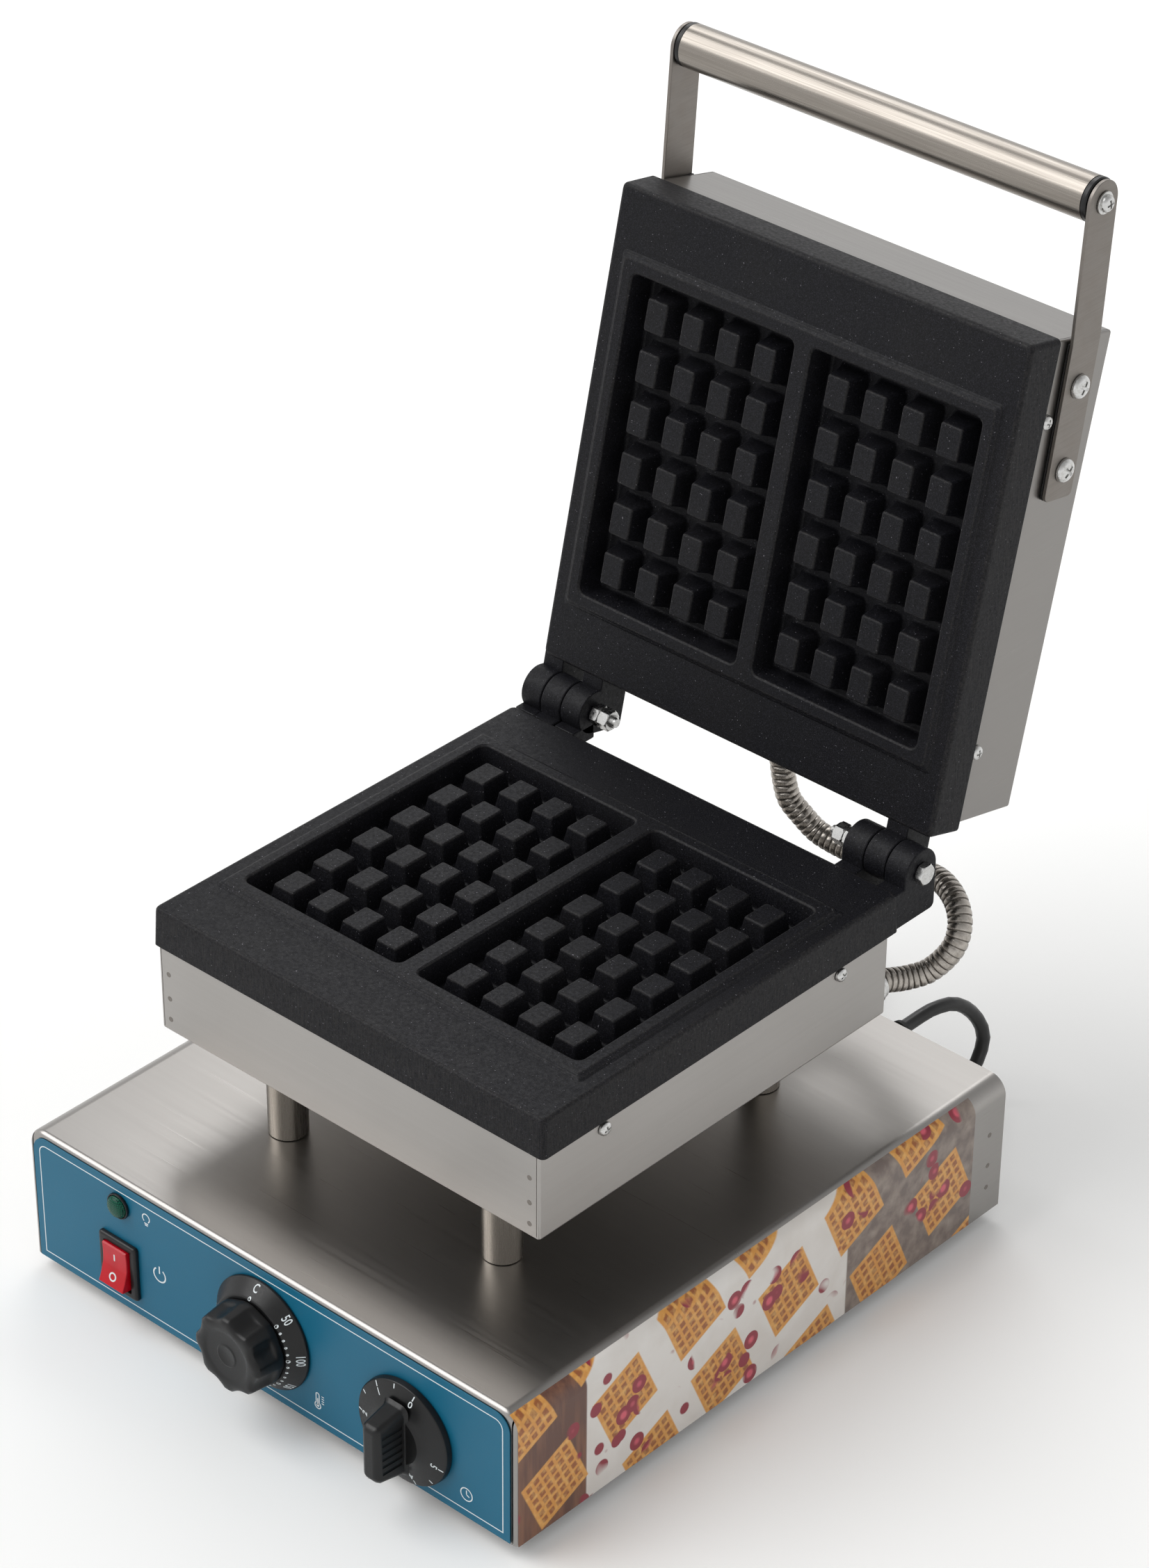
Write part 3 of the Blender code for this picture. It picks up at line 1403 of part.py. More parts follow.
def make_timer(machine):
    make_control_body("timer_body", TIMER_X, TIMER_Z, TIMER_BODY_WIDTH, TIMER_BODY_DEPTH, machine)
    back_y = PANEL_FACE_Y - GAP
    place = (TIMER_X, back_y, TIMER_Z)
    skirt = skirt_profile(TIMER_SKIRT_RADIUS, TIMER_SHOULDER_RADIUS, TIMER_SKIRT_DEPTH)
    knob = turned("timer_knob", skirt, place, FACE_FRONT, BLACK, machine, FINE_SIDES, True)

    bm = bmesh.new()
    size = (TIMER_GRIP_WIDTH * TIMER_GRIP_TAPER_SHARE, TIMER_GRIP_HEIGHT * TIMER_GRIP_TAPER_SHARE)
    flare = TIMER_GRIP_WIDTH * (1 - TIMER_GRIP_TAPER_SHARE) / 2
    foot = (0, 0, TIMER_SKIRT_DEPTH - OVERLAP)
    tapered_block(bm, foot, size, flare, TIMER_GRIP_DEPTH + OVERLAP, TIMER_GRIP_WIDTH / 4, 3)
    bar_mesh = finish_mesh(bm, "timer_grip_bar")
    bar = new_part("timer_grip_bar", bar_mesh, None, place, FACE_FRONT, machine)
    add(knob, bar)
    for side in (-1, 1):
        for number in range(TIMER_GROOVES):
            z = TIMER_Z + TIMER_GROOVE_PITCH * (number - (TIMER_GROOVES - 1) / 2)
            out = TIMER_GROOVE_SETBACK + TIMER_GROOVE_LENGTH / 2
            x = TIMER_X + side * (TIMER_GRIP_WIDTH / 2 - flare * out / TIMER_GRIP_DEPTH)
            middle = Vector((x, back_y - TIMER_SKIRT_DEPTH - out, z))
            half = Vector((TIMER_GROOVE_DEPTH, TIMER_GROOVE_LENGTH / 2, TIMER_GROOVE_WIDTH / 2))
            groove = block(f"timer_groove_{side}_{number}", middle - half, middle + half, parent=machine)
            cut(knob, groove)
    socket = cylinder(
        "timer_socket",
        SHAFT_RADIUS + GAP,
        SHAFT_REACH + OVERRUN,
        (TIMER_X, back_y + OVERRUN / 2, TIMER_Z),
        FACE_FRONT,
        parent=machine,
        sides=SCREW_SIDES,
    )
    cut(knob, socket)


def make_terminal_block(machine):
    rear_y = REAR_Y - REAR_PAN_FLANGE - TERMINAL_CLEARANCE
    low = (TERMINAL_X, rear_y - TERMINAL_WIDTH, FOOT_HEIGHT + BASE_SHEET + GAP)
    high = (low[0] + TERMINAL_LENGTH, low[1] + TERMINAL_WIDTH, low[2] + TERMINAL_HEIGHT)
    block("terminal_block", low, high, BRASS, machine)


def fitting_profile():
    """A flanged ferrule with a bore for the hose and a neck that goes through the wall."""
    bore = HOSE_RADIUS + GAP
    return [
        (FITTING_COLLAR_RADIUS, FITTING_LENGTH),
        (FITTING_COLLAR_RADIUS, FITTING_FLANGE),
        (FITTING_RADIUS, FITTING_FLANGE),
        (FITTING_RADIUS, 0),
        (FITTING_NECK_RADIUS, 0),
        (FITTING_NECK_RADIUS, -FITTING_NECK_LENGTH),
        (bore, -FITTING_NECK_LENGTH),
        (bore, FITTING_LENGTH),
    ]


def make_hose(machine, lower_hinge, lid):
    """Interlocked metal conduit from the lid housing's rear wall to the lower housing's rear wall."""
    top_wall = Vector((HOSE_TOP_X, -LID_HOUSING_REACH_NEAR, HOSE_TOP_RISE))
    end_wall = Vector((HOSE_END_X, -HOUSING_REACH_NEAR, HOSE_END_Z - HINGE_Z))
    profile = fitting_profile()
    for word, parent, wall in (("upper", lid, top_wall), ("lower", lower_hinge, end_wall)):
        place = (wall[0], wall[1] + GAP, wall[2])
        turned(f"hose_fitting_{word}", profile, place, FACE_REAR, BRIGHT, parent, closed=True)
        housing = bpy.data.objects[f"{word}_housing"]
        hole = cylinder(
            f"{word}_hose_hole",
            FITTING_NECK_RADIUS + GAP,
            HOUSING_SHEET + OVERRUN * 2,
            (wall[0], wall[1] - HOUSING_SHEET - OVERRUN, wall[2]),
            FACE_REAR,
            parent=parent,
        )
        cut(housing, hole)
    open_turn = Matrix.Rotation(-OPEN_ANGLE, 4, "X")
    hinge = Vector((0, HINGE_Y, HINGE_Z))
    start = hinge + open_turn @ (top_wall + Vector((0, GAP, 0)))
    leave = open_turn @ Vector((0, 1, 0))
    end = hinge + end_wall + Vector((0, GAP, 0))
    arrive = Vector((0, 1, 0))
    inside = FITTING_NECK_LENGTH / 2
    knots = [
        start - leave * inside,
        start + leave * FITTING_LENGTH / 2,
        start + leave * (FITTING_LENGTH + FITTING_FLANGE),
        *HOSE_ROUTE,
        end + arrive * (FITTING_LENGTH + FITTING_FLANGE),
        end + arrive * FITTING_LENGTH / 2,
        end - arrive * inside,
    ]
    points = smooth_route(knots, HOSE_RIB_PITCH / 2)
    radii = [HOSE_RADIUS if index % 2 else HOSE_GROOVE_RADIUS for index in range(len(points))]
    hose = as_mesh(tube("conduit_hose", points, HOSE_RADIUS, 2, TUBE_STEEL, machine, radii))
    inner = smooth_route(knots, HOSE_BORE_STEP)
    inner[0] += (inner[0] - inner[1]).normalized() * OVERRUN
    inner[-1] += (inner[-1] - inner[-2]).normalized() * OVERRUN
    bore = as_mesh(tube("hose_bore", inner, HOSE_BORE_RADIUS, 2, None, machine))
    cut(hose, bore)
    gap = least_self_gap(points, HOSE_RADIUS * 2)
    print(f"hose length {route_length(points):.4f} m, least gap to itself {gap:.4f} m")


def make_gland(machine):
    """Tapered strain relief through the rear wall, with its head inside."""
    hole = GLAND_NECK_RADIUS
    wall = BASE_SHEET + GAP * 2
    shoulders = [(GLAND_RADIUS * across, GLAND_LENGTH * along) for across, along in GLAND_SHOULDER_SHARES]
    profile = [
        (0, GLAND_LENGTH),
        (GLAND_TIP_RADIUS, GLAND_LENGTH),
        *shoulders,
        (GLAND_RADIUS, 0),
        (hole, 0),
        (hole, -wall),
        (GLAND_RADIUS, -wall),
        (GLAND_RADIUS, -wall - GLAND_HEAD_LENGTH),
        (0, -wall - GLAND_HEAD_LENGTH),
    ]
    turned("cord_gland", profile, (CORD_EXIT_X, REAR_Y + GAP, CORD_EXIT_Z), FACE_REAR, RUBBER, machine)


def make_cord(machine):
    """Mains cord: a free stretch from the gland to the floor, then a wound coil, then the plug."""
    diameter = CORD_RADIUS * 2
    exit_y = REAR_Y + GAP + GLAND_LENGTH + GAP
    floor_z = CORD_RADIUS + GAP
    coil_z = CORD_RADIUS + COIL_LIFT
    knots = [
        Vector((CORD_EXIT_X, exit_y, CORD_EXIT_Z)),
        Vector((CORD_EXIT_X, exit_y + CORD_STRAIGHT, CORD_EXIT_Z)),
        *CORD_ROUTE_DOWN,
        *((x, y, floor_z) for x, y in CORD_ROUTE_FLOOR),
        Vector((COIL_X + COIL_APPROACH, COIL_SOUTH_Y, coil_z)),
        Vector((COIL_X + COIL_LEAD_IN + GAP, COIL_SOUTH_Y, coil_z)),
    ]
    free = smooth_route(knots, CORD_STEP)
    tube("mains_cord", free, CORD_RADIUS, 2, RUBBER, machine)

    turn_pitch = diameter + COIL_TURN_GAP
    turns = COIL_LAYER_TURNS * 2
    tail = PLUG_GAP_FROM_COIL
    wound = CORD_LENGTH - route_length(free) - COIL_LEAD_IN - tail
    middle_radius = wound / (math.tau * turns)
    inner_radius = middle_radius - turn_pitch * COIL_LAYER_TURNS / 2
    centre_y = COIL_SOUTH_Y + inner_radius + turn_pitch * COIL_LAYER_TURNS
    coil = [Vector((COIL_X + COIL_LEAD_IN, COIL_SOUTH_Y, coil_z))]
    steps = round(turns * COIL_POINTS_PER_TURN)
    for step in range(steps + 1):
        turned_by = turns * step / steps
        from_inner = abs(turned_by - COIL_LAYER_TURNS)
        radius = inner_radius + turn_pitch * from_inner
        angle = -math.pi / 2 - math.tau * turned_by
        climb = min(1, max(0, (turned_by - COIL_LAYER_TURNS) * 2 + 0.5))
        height = coil_z + turn_pitch * climb * climb * (3 - 2 * climb)
        spoke = Vector((math.cos(angle), math.sin(angle))) * radius
        coil.append(Vector((COIL_X + spoke[0], centre_y + spoke[1], height)))
    top_z = coil_z + turn_pitch
    coil.append(Vector((COIL_X - tail / 2, COIL_SOUTH_Y, top_z)))
    coil.append(Vector((COIL_X - tail, COIL_SOUTH_Y, top_z)))
    tube("mains_cord_coil", coil, CORD_RADIUS, 1, RUBBER, machine)
    print(
        f"cord: free {route_length(free):.4f} m, coil and tail {route_length(coil):.4f} m, "
        f"middle radius {middle_radius:.4f} m, least gap of the coil to itself "
        f"{least_self_gap(coil, diameter):.5f} m"
    )
    make_plug(machine, COIL_X - tail - GAP, COIL_SOUTH_Y, top_z)


def make_plug(machine, cord_x, cord_y, cord_z):
    """Three-pin plug lying on its back, pins up, with the cord entering its side."""
    floor = GAP
    low = (cord_x - PLUG_LENGTH, cord_y - PLUG_WIDTH / 2, floor)
    high = (cord_x, cord_y + PLUG_WIDTH / 2, floor + PLUG_HEIGHT)
    plug = block(
        "mains_plug",
        low,
        high,
        BLACK,
        machine,
        rounds=(
            (PLUG_CORNER, 3, lambda middle, along: abs(along[2]) > 0.99),
            (PLUG_CORNER / 3, 1, lambda middle, along: middle[2] < 0 and abs(along[2]) < 0.9),
        ),
    )
    top = high[2] - OVERLAP
    setback_x = (low[0] + high[0]) / 2 + PIN_SETBACK / 2
    earth_x = setback_x - PIN_SETBACK
    for number, side in enumerate((-1, 1)):
        y = cord_y + side * PIN_SPREAD / 2
        pin = block(
            f"plug_pin_{number}",
            (setback_x - PIN_THICKNESS / 2, y - PIN_WIDTH / 2, top),
            (setback_x + PIN_THICKNESS / 2, y + PIN_WIDTH / 2, top + PIN_LENGTH + OVERLAP),
            parent=machine,
        )
        add(plug, pin)
    earth = block(
        "plug_pin_earth",
        (earth_x - EARTH_PIN_DEPTH / 2, cord_y - EARTH_PIN_WIDTH / 2, top),
        (earth_x + EARTH_PIN_DEPTH / 2, cord_y + EARTH_PIN_WIDTH / 2, top + EARTH_PIN_LENGTH + OVERLAP),
        parent=machine,
    )
    add(plug, earth)


def frame_shift():
    """How far the middle of the base lies from the origin, so that the open machine is centred on it."""
    lean = OPEN_ANGLE - math.pi / 2
    rearmost = HINGE_Y + LID_HOUSING_REACH_FAR * math.sin(lean) + LID_TOP_RISE * math.cos(lean)
    foremost = min(THERMOSTAT_FRONT_Y, TIMER_FRONT_Y)
    return -(rearmost + foremost) / 2


def main():
    machine = new_empty("machine", (0, frame_shift(), 0))
    lower_hinge = new_empty("lower_hinge_axis", (0, HINGE_Y, HINGE_Z), (0, 0, 0), machine)
    lid = new_empty("lid_hinge_axis", (0, HINGE_Y, HINGE_Z), (-OPEN_ANGLE, 0, 0), machine)

    make_base_cover(machine)
    make_control_panel(machine)
    make_rear_pan(machine)
    make_bottom_plate(machine)
    make_feet(machine)
    make_posts(machine)

    spans = knuckle_ranges()
    lower_lugs = [spans["left"][1], spans["right"][0], spans["right"][2]]
    upper_lugs = [spans["left"][0], spans["left"][2], spans["right"][1]]
    lower_back = LOWER_LAND_RISE + LAND_HEIGHT + PLATE_THICKNESS
    make_plate("lower_plate", lower_hinge, LOWER_LAND_RISE, PLATE_REACH_FAR, -1, lower_lugs, [])
    reach = (HOUSING_REACH_NEAR, HOUSING_REACH_FAR)
    make_housing("lower_housing", lower_hinge, -lower_back - GAP, HOUSING_HEIGHT, reach, -1)
    make_side_screws("lower_housing", lower_hinge, -lower_back - GAP, -1)
    make_element("lower_heating_element", lower_hinge, lower_back, -1)
    make_hinge_bolts(lower_hinge)

    make_plate("upper_plate", lid, UPPER_LAND_RISE, LID_PLATE_REACH_FAR, 1, upper_lugs, upper_lugs[:2])
    reach = (LID_HOUSING_REACH_NEAR, LID_HOUSING_REACH_FAR)
    upper_housing = make_housing("upper_housing", lid, LID_BACK_RISE + GAP, LID_HOUSING_HEIGHT, reach, 1)
    cut_strap_holes(upper_housing, lid)
    make_side_screws("upper_housing", lid, LID_BACK_RISE + GAP, 1)
    make_element("upper_heating_element", lid, LID_BACK_RISE, 1)
    make_handle(lid)

    make_lamp(machine)
    make_switch(machine)
    make_thermostat(machine)
    make_timer(machine)
    make_terminal_block(machine)
    make_hose(machine, lower_hinge, lid)
    make_gland(machine)
    make_cord(machine)
    bpy.context.view_layer.update()


main()
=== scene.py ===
"""A rectangular waffle maker, standing open on a pale floor: its visual pieces, finishes, camera and stage.

Sizes are in metres. Pieces are worked out about the middle of the base and the hinge axis, and their meshes are then
moved into the row frame, so every object sits at the origin and its Object coordinates are real metres.
"""

import math
import random

import bmesh
import bpy
from mathutils import Matrix, Vector


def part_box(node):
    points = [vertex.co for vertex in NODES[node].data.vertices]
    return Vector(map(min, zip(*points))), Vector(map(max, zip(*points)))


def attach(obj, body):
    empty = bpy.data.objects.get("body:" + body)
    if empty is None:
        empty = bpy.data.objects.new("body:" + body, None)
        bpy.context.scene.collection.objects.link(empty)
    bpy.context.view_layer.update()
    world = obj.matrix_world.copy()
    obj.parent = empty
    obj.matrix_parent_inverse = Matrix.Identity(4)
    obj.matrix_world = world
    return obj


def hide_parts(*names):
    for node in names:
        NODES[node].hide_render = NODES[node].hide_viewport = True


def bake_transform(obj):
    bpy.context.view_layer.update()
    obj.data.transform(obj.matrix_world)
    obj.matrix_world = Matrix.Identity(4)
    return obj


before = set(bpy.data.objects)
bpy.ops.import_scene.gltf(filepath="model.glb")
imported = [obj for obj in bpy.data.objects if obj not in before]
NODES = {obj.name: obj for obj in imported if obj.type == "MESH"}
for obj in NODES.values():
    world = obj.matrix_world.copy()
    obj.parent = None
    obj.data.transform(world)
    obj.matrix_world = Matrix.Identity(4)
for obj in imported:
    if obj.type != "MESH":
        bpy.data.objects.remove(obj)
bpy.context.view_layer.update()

bl_info = {
    "name": "Rectangular waffle maker",
    "version": (1, 0, 0),
    "blender": (4, 5, 0),
    "location": "3D View > Sidebar > Waffle maker",
    "description": "Builds the visual pieces of a rectangular waffle maker round its CAD frame",
    "category": "Object",
}

GAP = 0.0003
SIDE_X, HALF_DEPTH, BASE_FOOT, BASE_TOP, SHEET = 0.1617, 0.176, 0.008, 0.085, 0.0012
PANEL_FACE_Y = -0.1768
SEAT_Y = PANEL_FACE_Y - GAP
LAMP = (-0.0975, 0.070)
SWITCH = (-0.0985, 0.034)
THERMOSTAT = (0.0, 0.0465)
TIMER = (0.0935, 0.0405)
# The front panel's round holes as (centre, radius), and half the switch's opening across and up.
PANEL_HOLES = ((LAMP, 0.0058), (THERMOSTAT, 0.005), (TIMER, 0.005))
SWITCH_HALF_X, SWITCH_HALF_Z = 0.01085, 0.0140
HINGE = Vector((0, 0.1452, 0.2056))
OPEN_ANGLE = math.radians(103)
LOWER_LAND, UPPER_LAND = 0.0018, -0.0012
PLATE_HALF, PLATE_NEAR, PLATE_THICK, LAND_HEIGHT = 0.1253, 0.0168, 0.0217, 0.0025
HOUSING_HALF = 0.1231
# How far the housings' rear and front walls lie in front of the hinge axis, and the heights of their open edges.
LOWER_NEAR, LOWER_FAR, UPPER_NEAR, UPPER_FAR = 0.0202, 0.2654, 0.0190, 0.2622
LOWER_RISE, UPPER_RISE = -0.0263, 0.0233
CAVITY_X, CAVITY_Y, CAVITY_DEPTH = 0.0567, -0.13985, 0.015
SCREW_REACHES = (0.056, 0.2225)
CORD_RADIUS, CORD_LENGTH = 0.0037, 1.5
CORD_EXIT = Vector((0.0756, 0.2026, 0.0605))
COIL_X, COIL_Y, COIL_TURNS, COIL_TAIL = -0.058, 0.203, 5, 0.046
PLUG_LENGTH, PIN_REACH = 0.046, 0.0111
HINGE_HALF_SPAN, KNUCKLE_PITCH, KNUCKLE = 0.1249, 0.0133, 0.0129
BOLT_REACH = 0.0395
# Where the conduit's two fittings stand: across the machine, and above the hinge or the floor.
UPPER_FITTING_X, UPPER_FITTING_RISE = -0.003, 0.045
LOWER_FITTING_X, LOWER_FITTING_Z = 0.1130, 0.1420
HOSE_RADIUS, HOSE_GROOVE, HOSE_PITCH = 0.0062, 0.0057, 0.0035
WELD_RING = [(0, -0.0003), (0.0014, -0.0003), (0.0014, 0.00006), (0.0011, 0.00014), (0.0007, 0.00005), (0, 0.00002)]
# Where the side film changes its ground, along the machine.
FILM_FRONT_FIELD, FILM_REAR_FIELD = -0.163, 0.022
SIDES = ((-1, "left"), (1, "right"))
CORNERS = [(side, across, end, along) for side, across in SIDES for end, along in ((-1, "front"), (1, "rear"))]
QUARTER = math.pi / 2

MACHINE = Matrix.Translation((0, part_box("base_cover")[0].y + HALF_DEPTH, 0))
LOWER = MACHINE @ Matrix.Translation(HINGE)
LID = LOWER @ Matrix.Rotation(-OPEN_ANGLE, 4, "X")
# Turn a shape drawn round +Z so that it grows towards the front, the rear, the right or the left.
TO_FRONT = Matrix.Rotation(QUARTER, 4, "X")
TO_REAR = Matrix.Rotation(-QUARTER, 4, "X")
TO_RIGHT = Matrix.Rotation(QUARTER, 4, "Y")
TO_LEFT = Matrix.Rotation(-QUARTER, 4, "Y")
# Stands a flat shape drawn as (distance behind, height) upright, its thickness across the machine.
UPRIGHT = Matrix(((0, 0, 1, 0), (1, 0, 0, 0), (0, 1, 0, 0), (0, 0, 0, 1)))


def sideways(side):
    return TO_RIGHT if side > 0 else TO_LEFT


def on_panel(centre, out=0.0):
    """The place of a control on the front panel, a distance out from its seat."""
    return MACHINE @ Matrix.Translation((centre[0], SEAT_Y - out, centre[1])) @ TO_FRONT


# ---------------------------------------------------------------- shapes


class Shape:
    """Points, faces and each face's material number, added to part by part."""

    def __init__(self):
        self.points, self.faces, self.marks = [], [], []

    def loft(self, rings, marks=None, wrap=False, cap_mark=0):
        """Joins rings of equal length, or single points at the ends, with bands, and caps open ends."""
        starts = []
        for ring in rings:
            starts.append(len(self.points))
            self.points.extend(Vector(point) for point in ring)
        pairs = list(zip(range(len(rings)), range(1, len(rings))))
        if wrap:
            pairs.append((len(rings) - 1, 0))
        for band, (low, high) in enumerate(pairs):
            count = max(len(rings[low]), len(rings[high]))
            mark = marks[band] if marks else 0
            for index in range(count):
                after = (index + 1) % count
                corners = []
                for ring, step in ((low, index), (low, after), (high, after), (high, index)):
                    corner = starts[ring] + (step if len(rings[ring]) > 1 else 0)
                    if corner not in corners:
                        corners.append(corner)
                if len(corners) > 2:
                    self.faces.append(corners)
                    self.marks.append(mark)
        if not wrap:
            for ring, turn in ((0, -1), (len(rings) - 1, 1)):
                if len(rings[ring]) > 2:
                    self.faces.append([starts[ring] + i for i in range(len(rings[ring]))][::turn])
                    self.marks.append(cap_mark)
        return self

    def add(self, other, place=None, mark=None):
        place = place or Matrix()
        first = len(self.points)
        self.points.extend(place @ point for point in other.points)
        self.faces.extend([first + index for index in face] for face in other.faces)
        self.marks.extend(other.marks if mark is None else [mark] * len(other.faces))
        return self

    def mesh(self, name, place=None):
        mesh = bpy.data.meshes.new(name)
        mesh.from_pydata([tuple(point) for point in self.points], [], self.faces)
        mesh.polygons.foreach_set("material_index", self.marks)
        if place:
            mesh.transform(place)
        return edited(mesh)


def edited(mesh, work=None):
    """Edits a mesh by a function of its bmesh, and turns its faces outwards."""
    bm = bmesh.new()
    bm.from_mesh(mesh)
    if work:
        work(bm)
    bmesh.ops.recalc_face_normals(bm, faces=bm.faces)
    bm.to_mesh(mesh)
    bm.free()
    return mesh


def linked(name, data):
    obj = bpy.data.objects.new(name, data)
    bpy.context.scene.collection.objects.link(obj)
    return obj


def arc(centre, radius, start, end, steps):
    turns = [start + (end - start) * step / steps for step in range(steps + 1)]
    return [(centre[0] + radius * math.cos(turn), centre[1] + radius * math.sin(turn)) for turn in turns]


def circle(radius, sides, centre=(0, 0)):
    return arc(centre, radius, 0, math.tau, sides)[:-1]


def rounded(half_x, half_y, corner, steps=5, centre=(0, 0)):
    """A rectangle with round corners, counter-clockwise, as (x, y) points."""
    corner = max(corner, 0.00001)
    points = []
    for quarter, (side_x, side_y) in enumerate(((1, 1), (-1, 1), (-1, -1), (1, -1))):
        middle = (centre[0] + side_x * (half_x - corner), centre[1] + side_y * (half_y - corner))
        points += arc(middle, corner, quarter * QUARTER, (quarter + 1) * QUARTER, steps)
    return points


def lift(outline, height):
    return [(x, y, height) for x, y in outline]


def turned(profile, sides=32, closed=False, marks=None):
    """A profile of (radius, height) turned about +Z."""
    rings = []
    for radius, height in profile:
        if radius < 0.000001:
            rings.append([(0, 0, height)])
        else:
            rings.append(lift(circle(radius, sides), height))
    return Shape().loft(rings, marks, wrap=closed)


def tube(points, radii, sides=16, marks=None):
    """Rings carried along a line without twist."""
    points = [Vector(point) for point in points]
    rings, side = [], None
    for index, point in enumerate(points):
        ahead = points[min(index + 1, len(points) - 1)] - points[max(index - 1, 0)]
        ahead.normalize()
        if side is None:
            side = ahead.orthogonal()
        side = (side - ahead * side.dot(ahead)).normalized()
        across = ahead.cross(side)
        radius = radii[index] if isinstance(radii, list) else radii
        rings.append([point + side * x + across * y for x, y in circle(radius, sides)])
    return Shape().loft(rings, marks)


def brick(low, high, corner=0.0005, soft=0.0004):
    """A block between two corners with rounded upright edges and a small roll at both ends."""
    low, high = Vector(low), Vector(high)
    middle, half = (low + high) / 2, (high - low) / 2
    turns = [QUARTER * step / 3 for step in range(4)]
    rings = []
    for way, turn in [(-1, turn) for turn in turns] + [(1, turn) for turn in turns[::-1]]:
        inset = soft * (1 - math.sin(turn))
        height = way * (half.z - soft * (1 - math.cos(turn)))
        rings.append(lift(rounded(half.x - inset, half.y - inset, corner), height))
    return Shape().add(Shape().loft(rings), Matrix.Translation(middle))


def shape_of(mesh):
    """Takes a mesh's points and faces, and removes it."""
    shape = Shape()
    shape.points = [vertex.co.copy() for vertex in mesh.vertices]
    shape.faces = [list(polygon.vertices) for polygon in mesh.polygons]
    shape.marks = [polygon.material_index for polygon in mesh.polygons]
    bpy.data.meshes.remove(mesh)
    return shape


def baked(obj):
    """The evaluated mesh of a helper, which is removed."""
    mesh = bpy.data.meshes.new_from_object(obj.evaluated_get(bpy.context.evaluated_depsgraph_get()))
    bpy.data.objects.remove(obj)
    return mesh


def flat_cut(outline, thickness, holes=(), soft=0.0003, bevel_steps=2):
    """A plate cut to an outline with holes, its edges rolled by soft, in the XY plane about height 0."""
    curve = bpy.data.curves.new("cut", "CURVE")
    curve.dimensions = "2D"
    curve.fill_mode = "BOTH"
    curve.extrude = thickness / 2 - soft
    curve.bevel_depth = soft
    curve.bevel_resolution = bevel_steps
    curve.offset = -soft
    for loop in (outline, *holes):
        spline = curve.splines.new("POLY")
        spline.points.add(len(loop) - 1)
        spline.use_cyclic_u = True
        for point, (x, y) in zip(spline.points, loop):
            point.co = (x, y, 0, 1)
    return filled(curve)


def filled(curve):
    """The flat shape of a filled curve, which is removed."""

    def weld(bm):
        bmesh.ops.remove_doubles(bm, verts=bm.verts, dist=0.000001)
        bmesh.ops.dissolve_degenerate(bm, edges=bm.edges, dist=0.000001)

    helper = linked("helper", curve)
    bpy.context.view_layer.update()
    mesh = baked(helper)
    bpy.data.curves.remove(curve)
    return shape_of(edited(mesh, weld))


def lettering(text, height, bold=0.00004):
    """Figures and letters as a filled outline about the origin, as a flat shape with no thickness yet."""
    curve = bpy.data.curves.new("text", "FONT")
    curve.body = text
    curve.align_x = curve.align_y = "CENTER"
    curve.size = height / 0.7
    curve.offset = bold
    curve.resolution_u = 3
    return filled(curve)


def printed(mark, drop, rise, onto=None):
    """Turns a flat shape into a closed skin from drop below to rise above the surface that onto gives."""

    def thicken(bm):
        made = bmesh.ops.extrude_face_region(bm, geom=list(bm.faces))
        top = {element for element in made["geom"] if isinstance(element, bmesh.types.BMVert)}
        for vertex in bm.verts:
            vertex.co.z = rise if vertex in top else -drop

    shape = shape_of(edited(mark.mesh("print"), thicken))
    if onto:
        shape.points = [onto(point) for point in shape.points]
    return shape


def boolean(mesh, cutters, place=None):
    """The mesh with each cutter taken away by the exact solver, as a plain mesh again, moved into its place."""
    target = linked("target", mesh)
    helpers = [linked("cutter", cutter) for cutter in cutters]
    for helper in helpers:
        modifier = target.modifiers.new("cut", "BOOLEAN")
        modifier.operation, modifier.solver, modifier.object = "DIFFERENCE", "EXACT", helper
    bpy.context.view_layer.update()
    result = baked(target)
    for helper, cutter in zip(helpers, cutters):
        bpy.data.objects.remove(helper)
        bpy.data.meshes.remove(cutter)
    if place:
        result.transform(place)
    return result


def smooth_route(knots, spacing):
    """Evenly spaced points on one smooth curve through the knots, as the CAD source lays its cord and hose."""
    knots = [Vector(knot) for knot in knots]
    padded = [knots[0] * 2 - knots[1], *knots, knots[-1] * 2 - knots[-2]]
    dense, fine = [], 24
    for index in range(1, len(padded) - 2):
        before, start, end, after = padded[index - 1 : index + 3]
        span = (end - start).length
        leave = (end - before) / ((end - start).length + (start - before).length)
        arrive = (after - start) / ((after - end).length + (end - start).length)
        for step in range(fine):
            t = step / fine
            dense.append(
                start * (2 * t**3 - 3 * t**2 + 1)
                + leave * span * (t**3 - 2 * t**2 + t)
                + end * (3 * t**2 - 2 * t**3)
                + arrive * span * (t**3 - t**2)
            )
    dense.append(knots[-1])
    lengths = [0.0]
    for first, second in zip(dense, dense[1:]):
        lengths.append(lengths[-1] + (second - first).length)
    count = max(2, round(lengths[-1] / spacing))
    points, index = [], 0
    for number in range(count + 1):
        target = lengths[-1] * number / count
        while index < len(lengths) - 2 and lengths[index + 1] < target:
            index += 1
        share = (target - lengths[index]) / (lengths[index + 1] - lengths[index])
        points.append(dense[index].lerp(dense[index + 1], share))
    return points


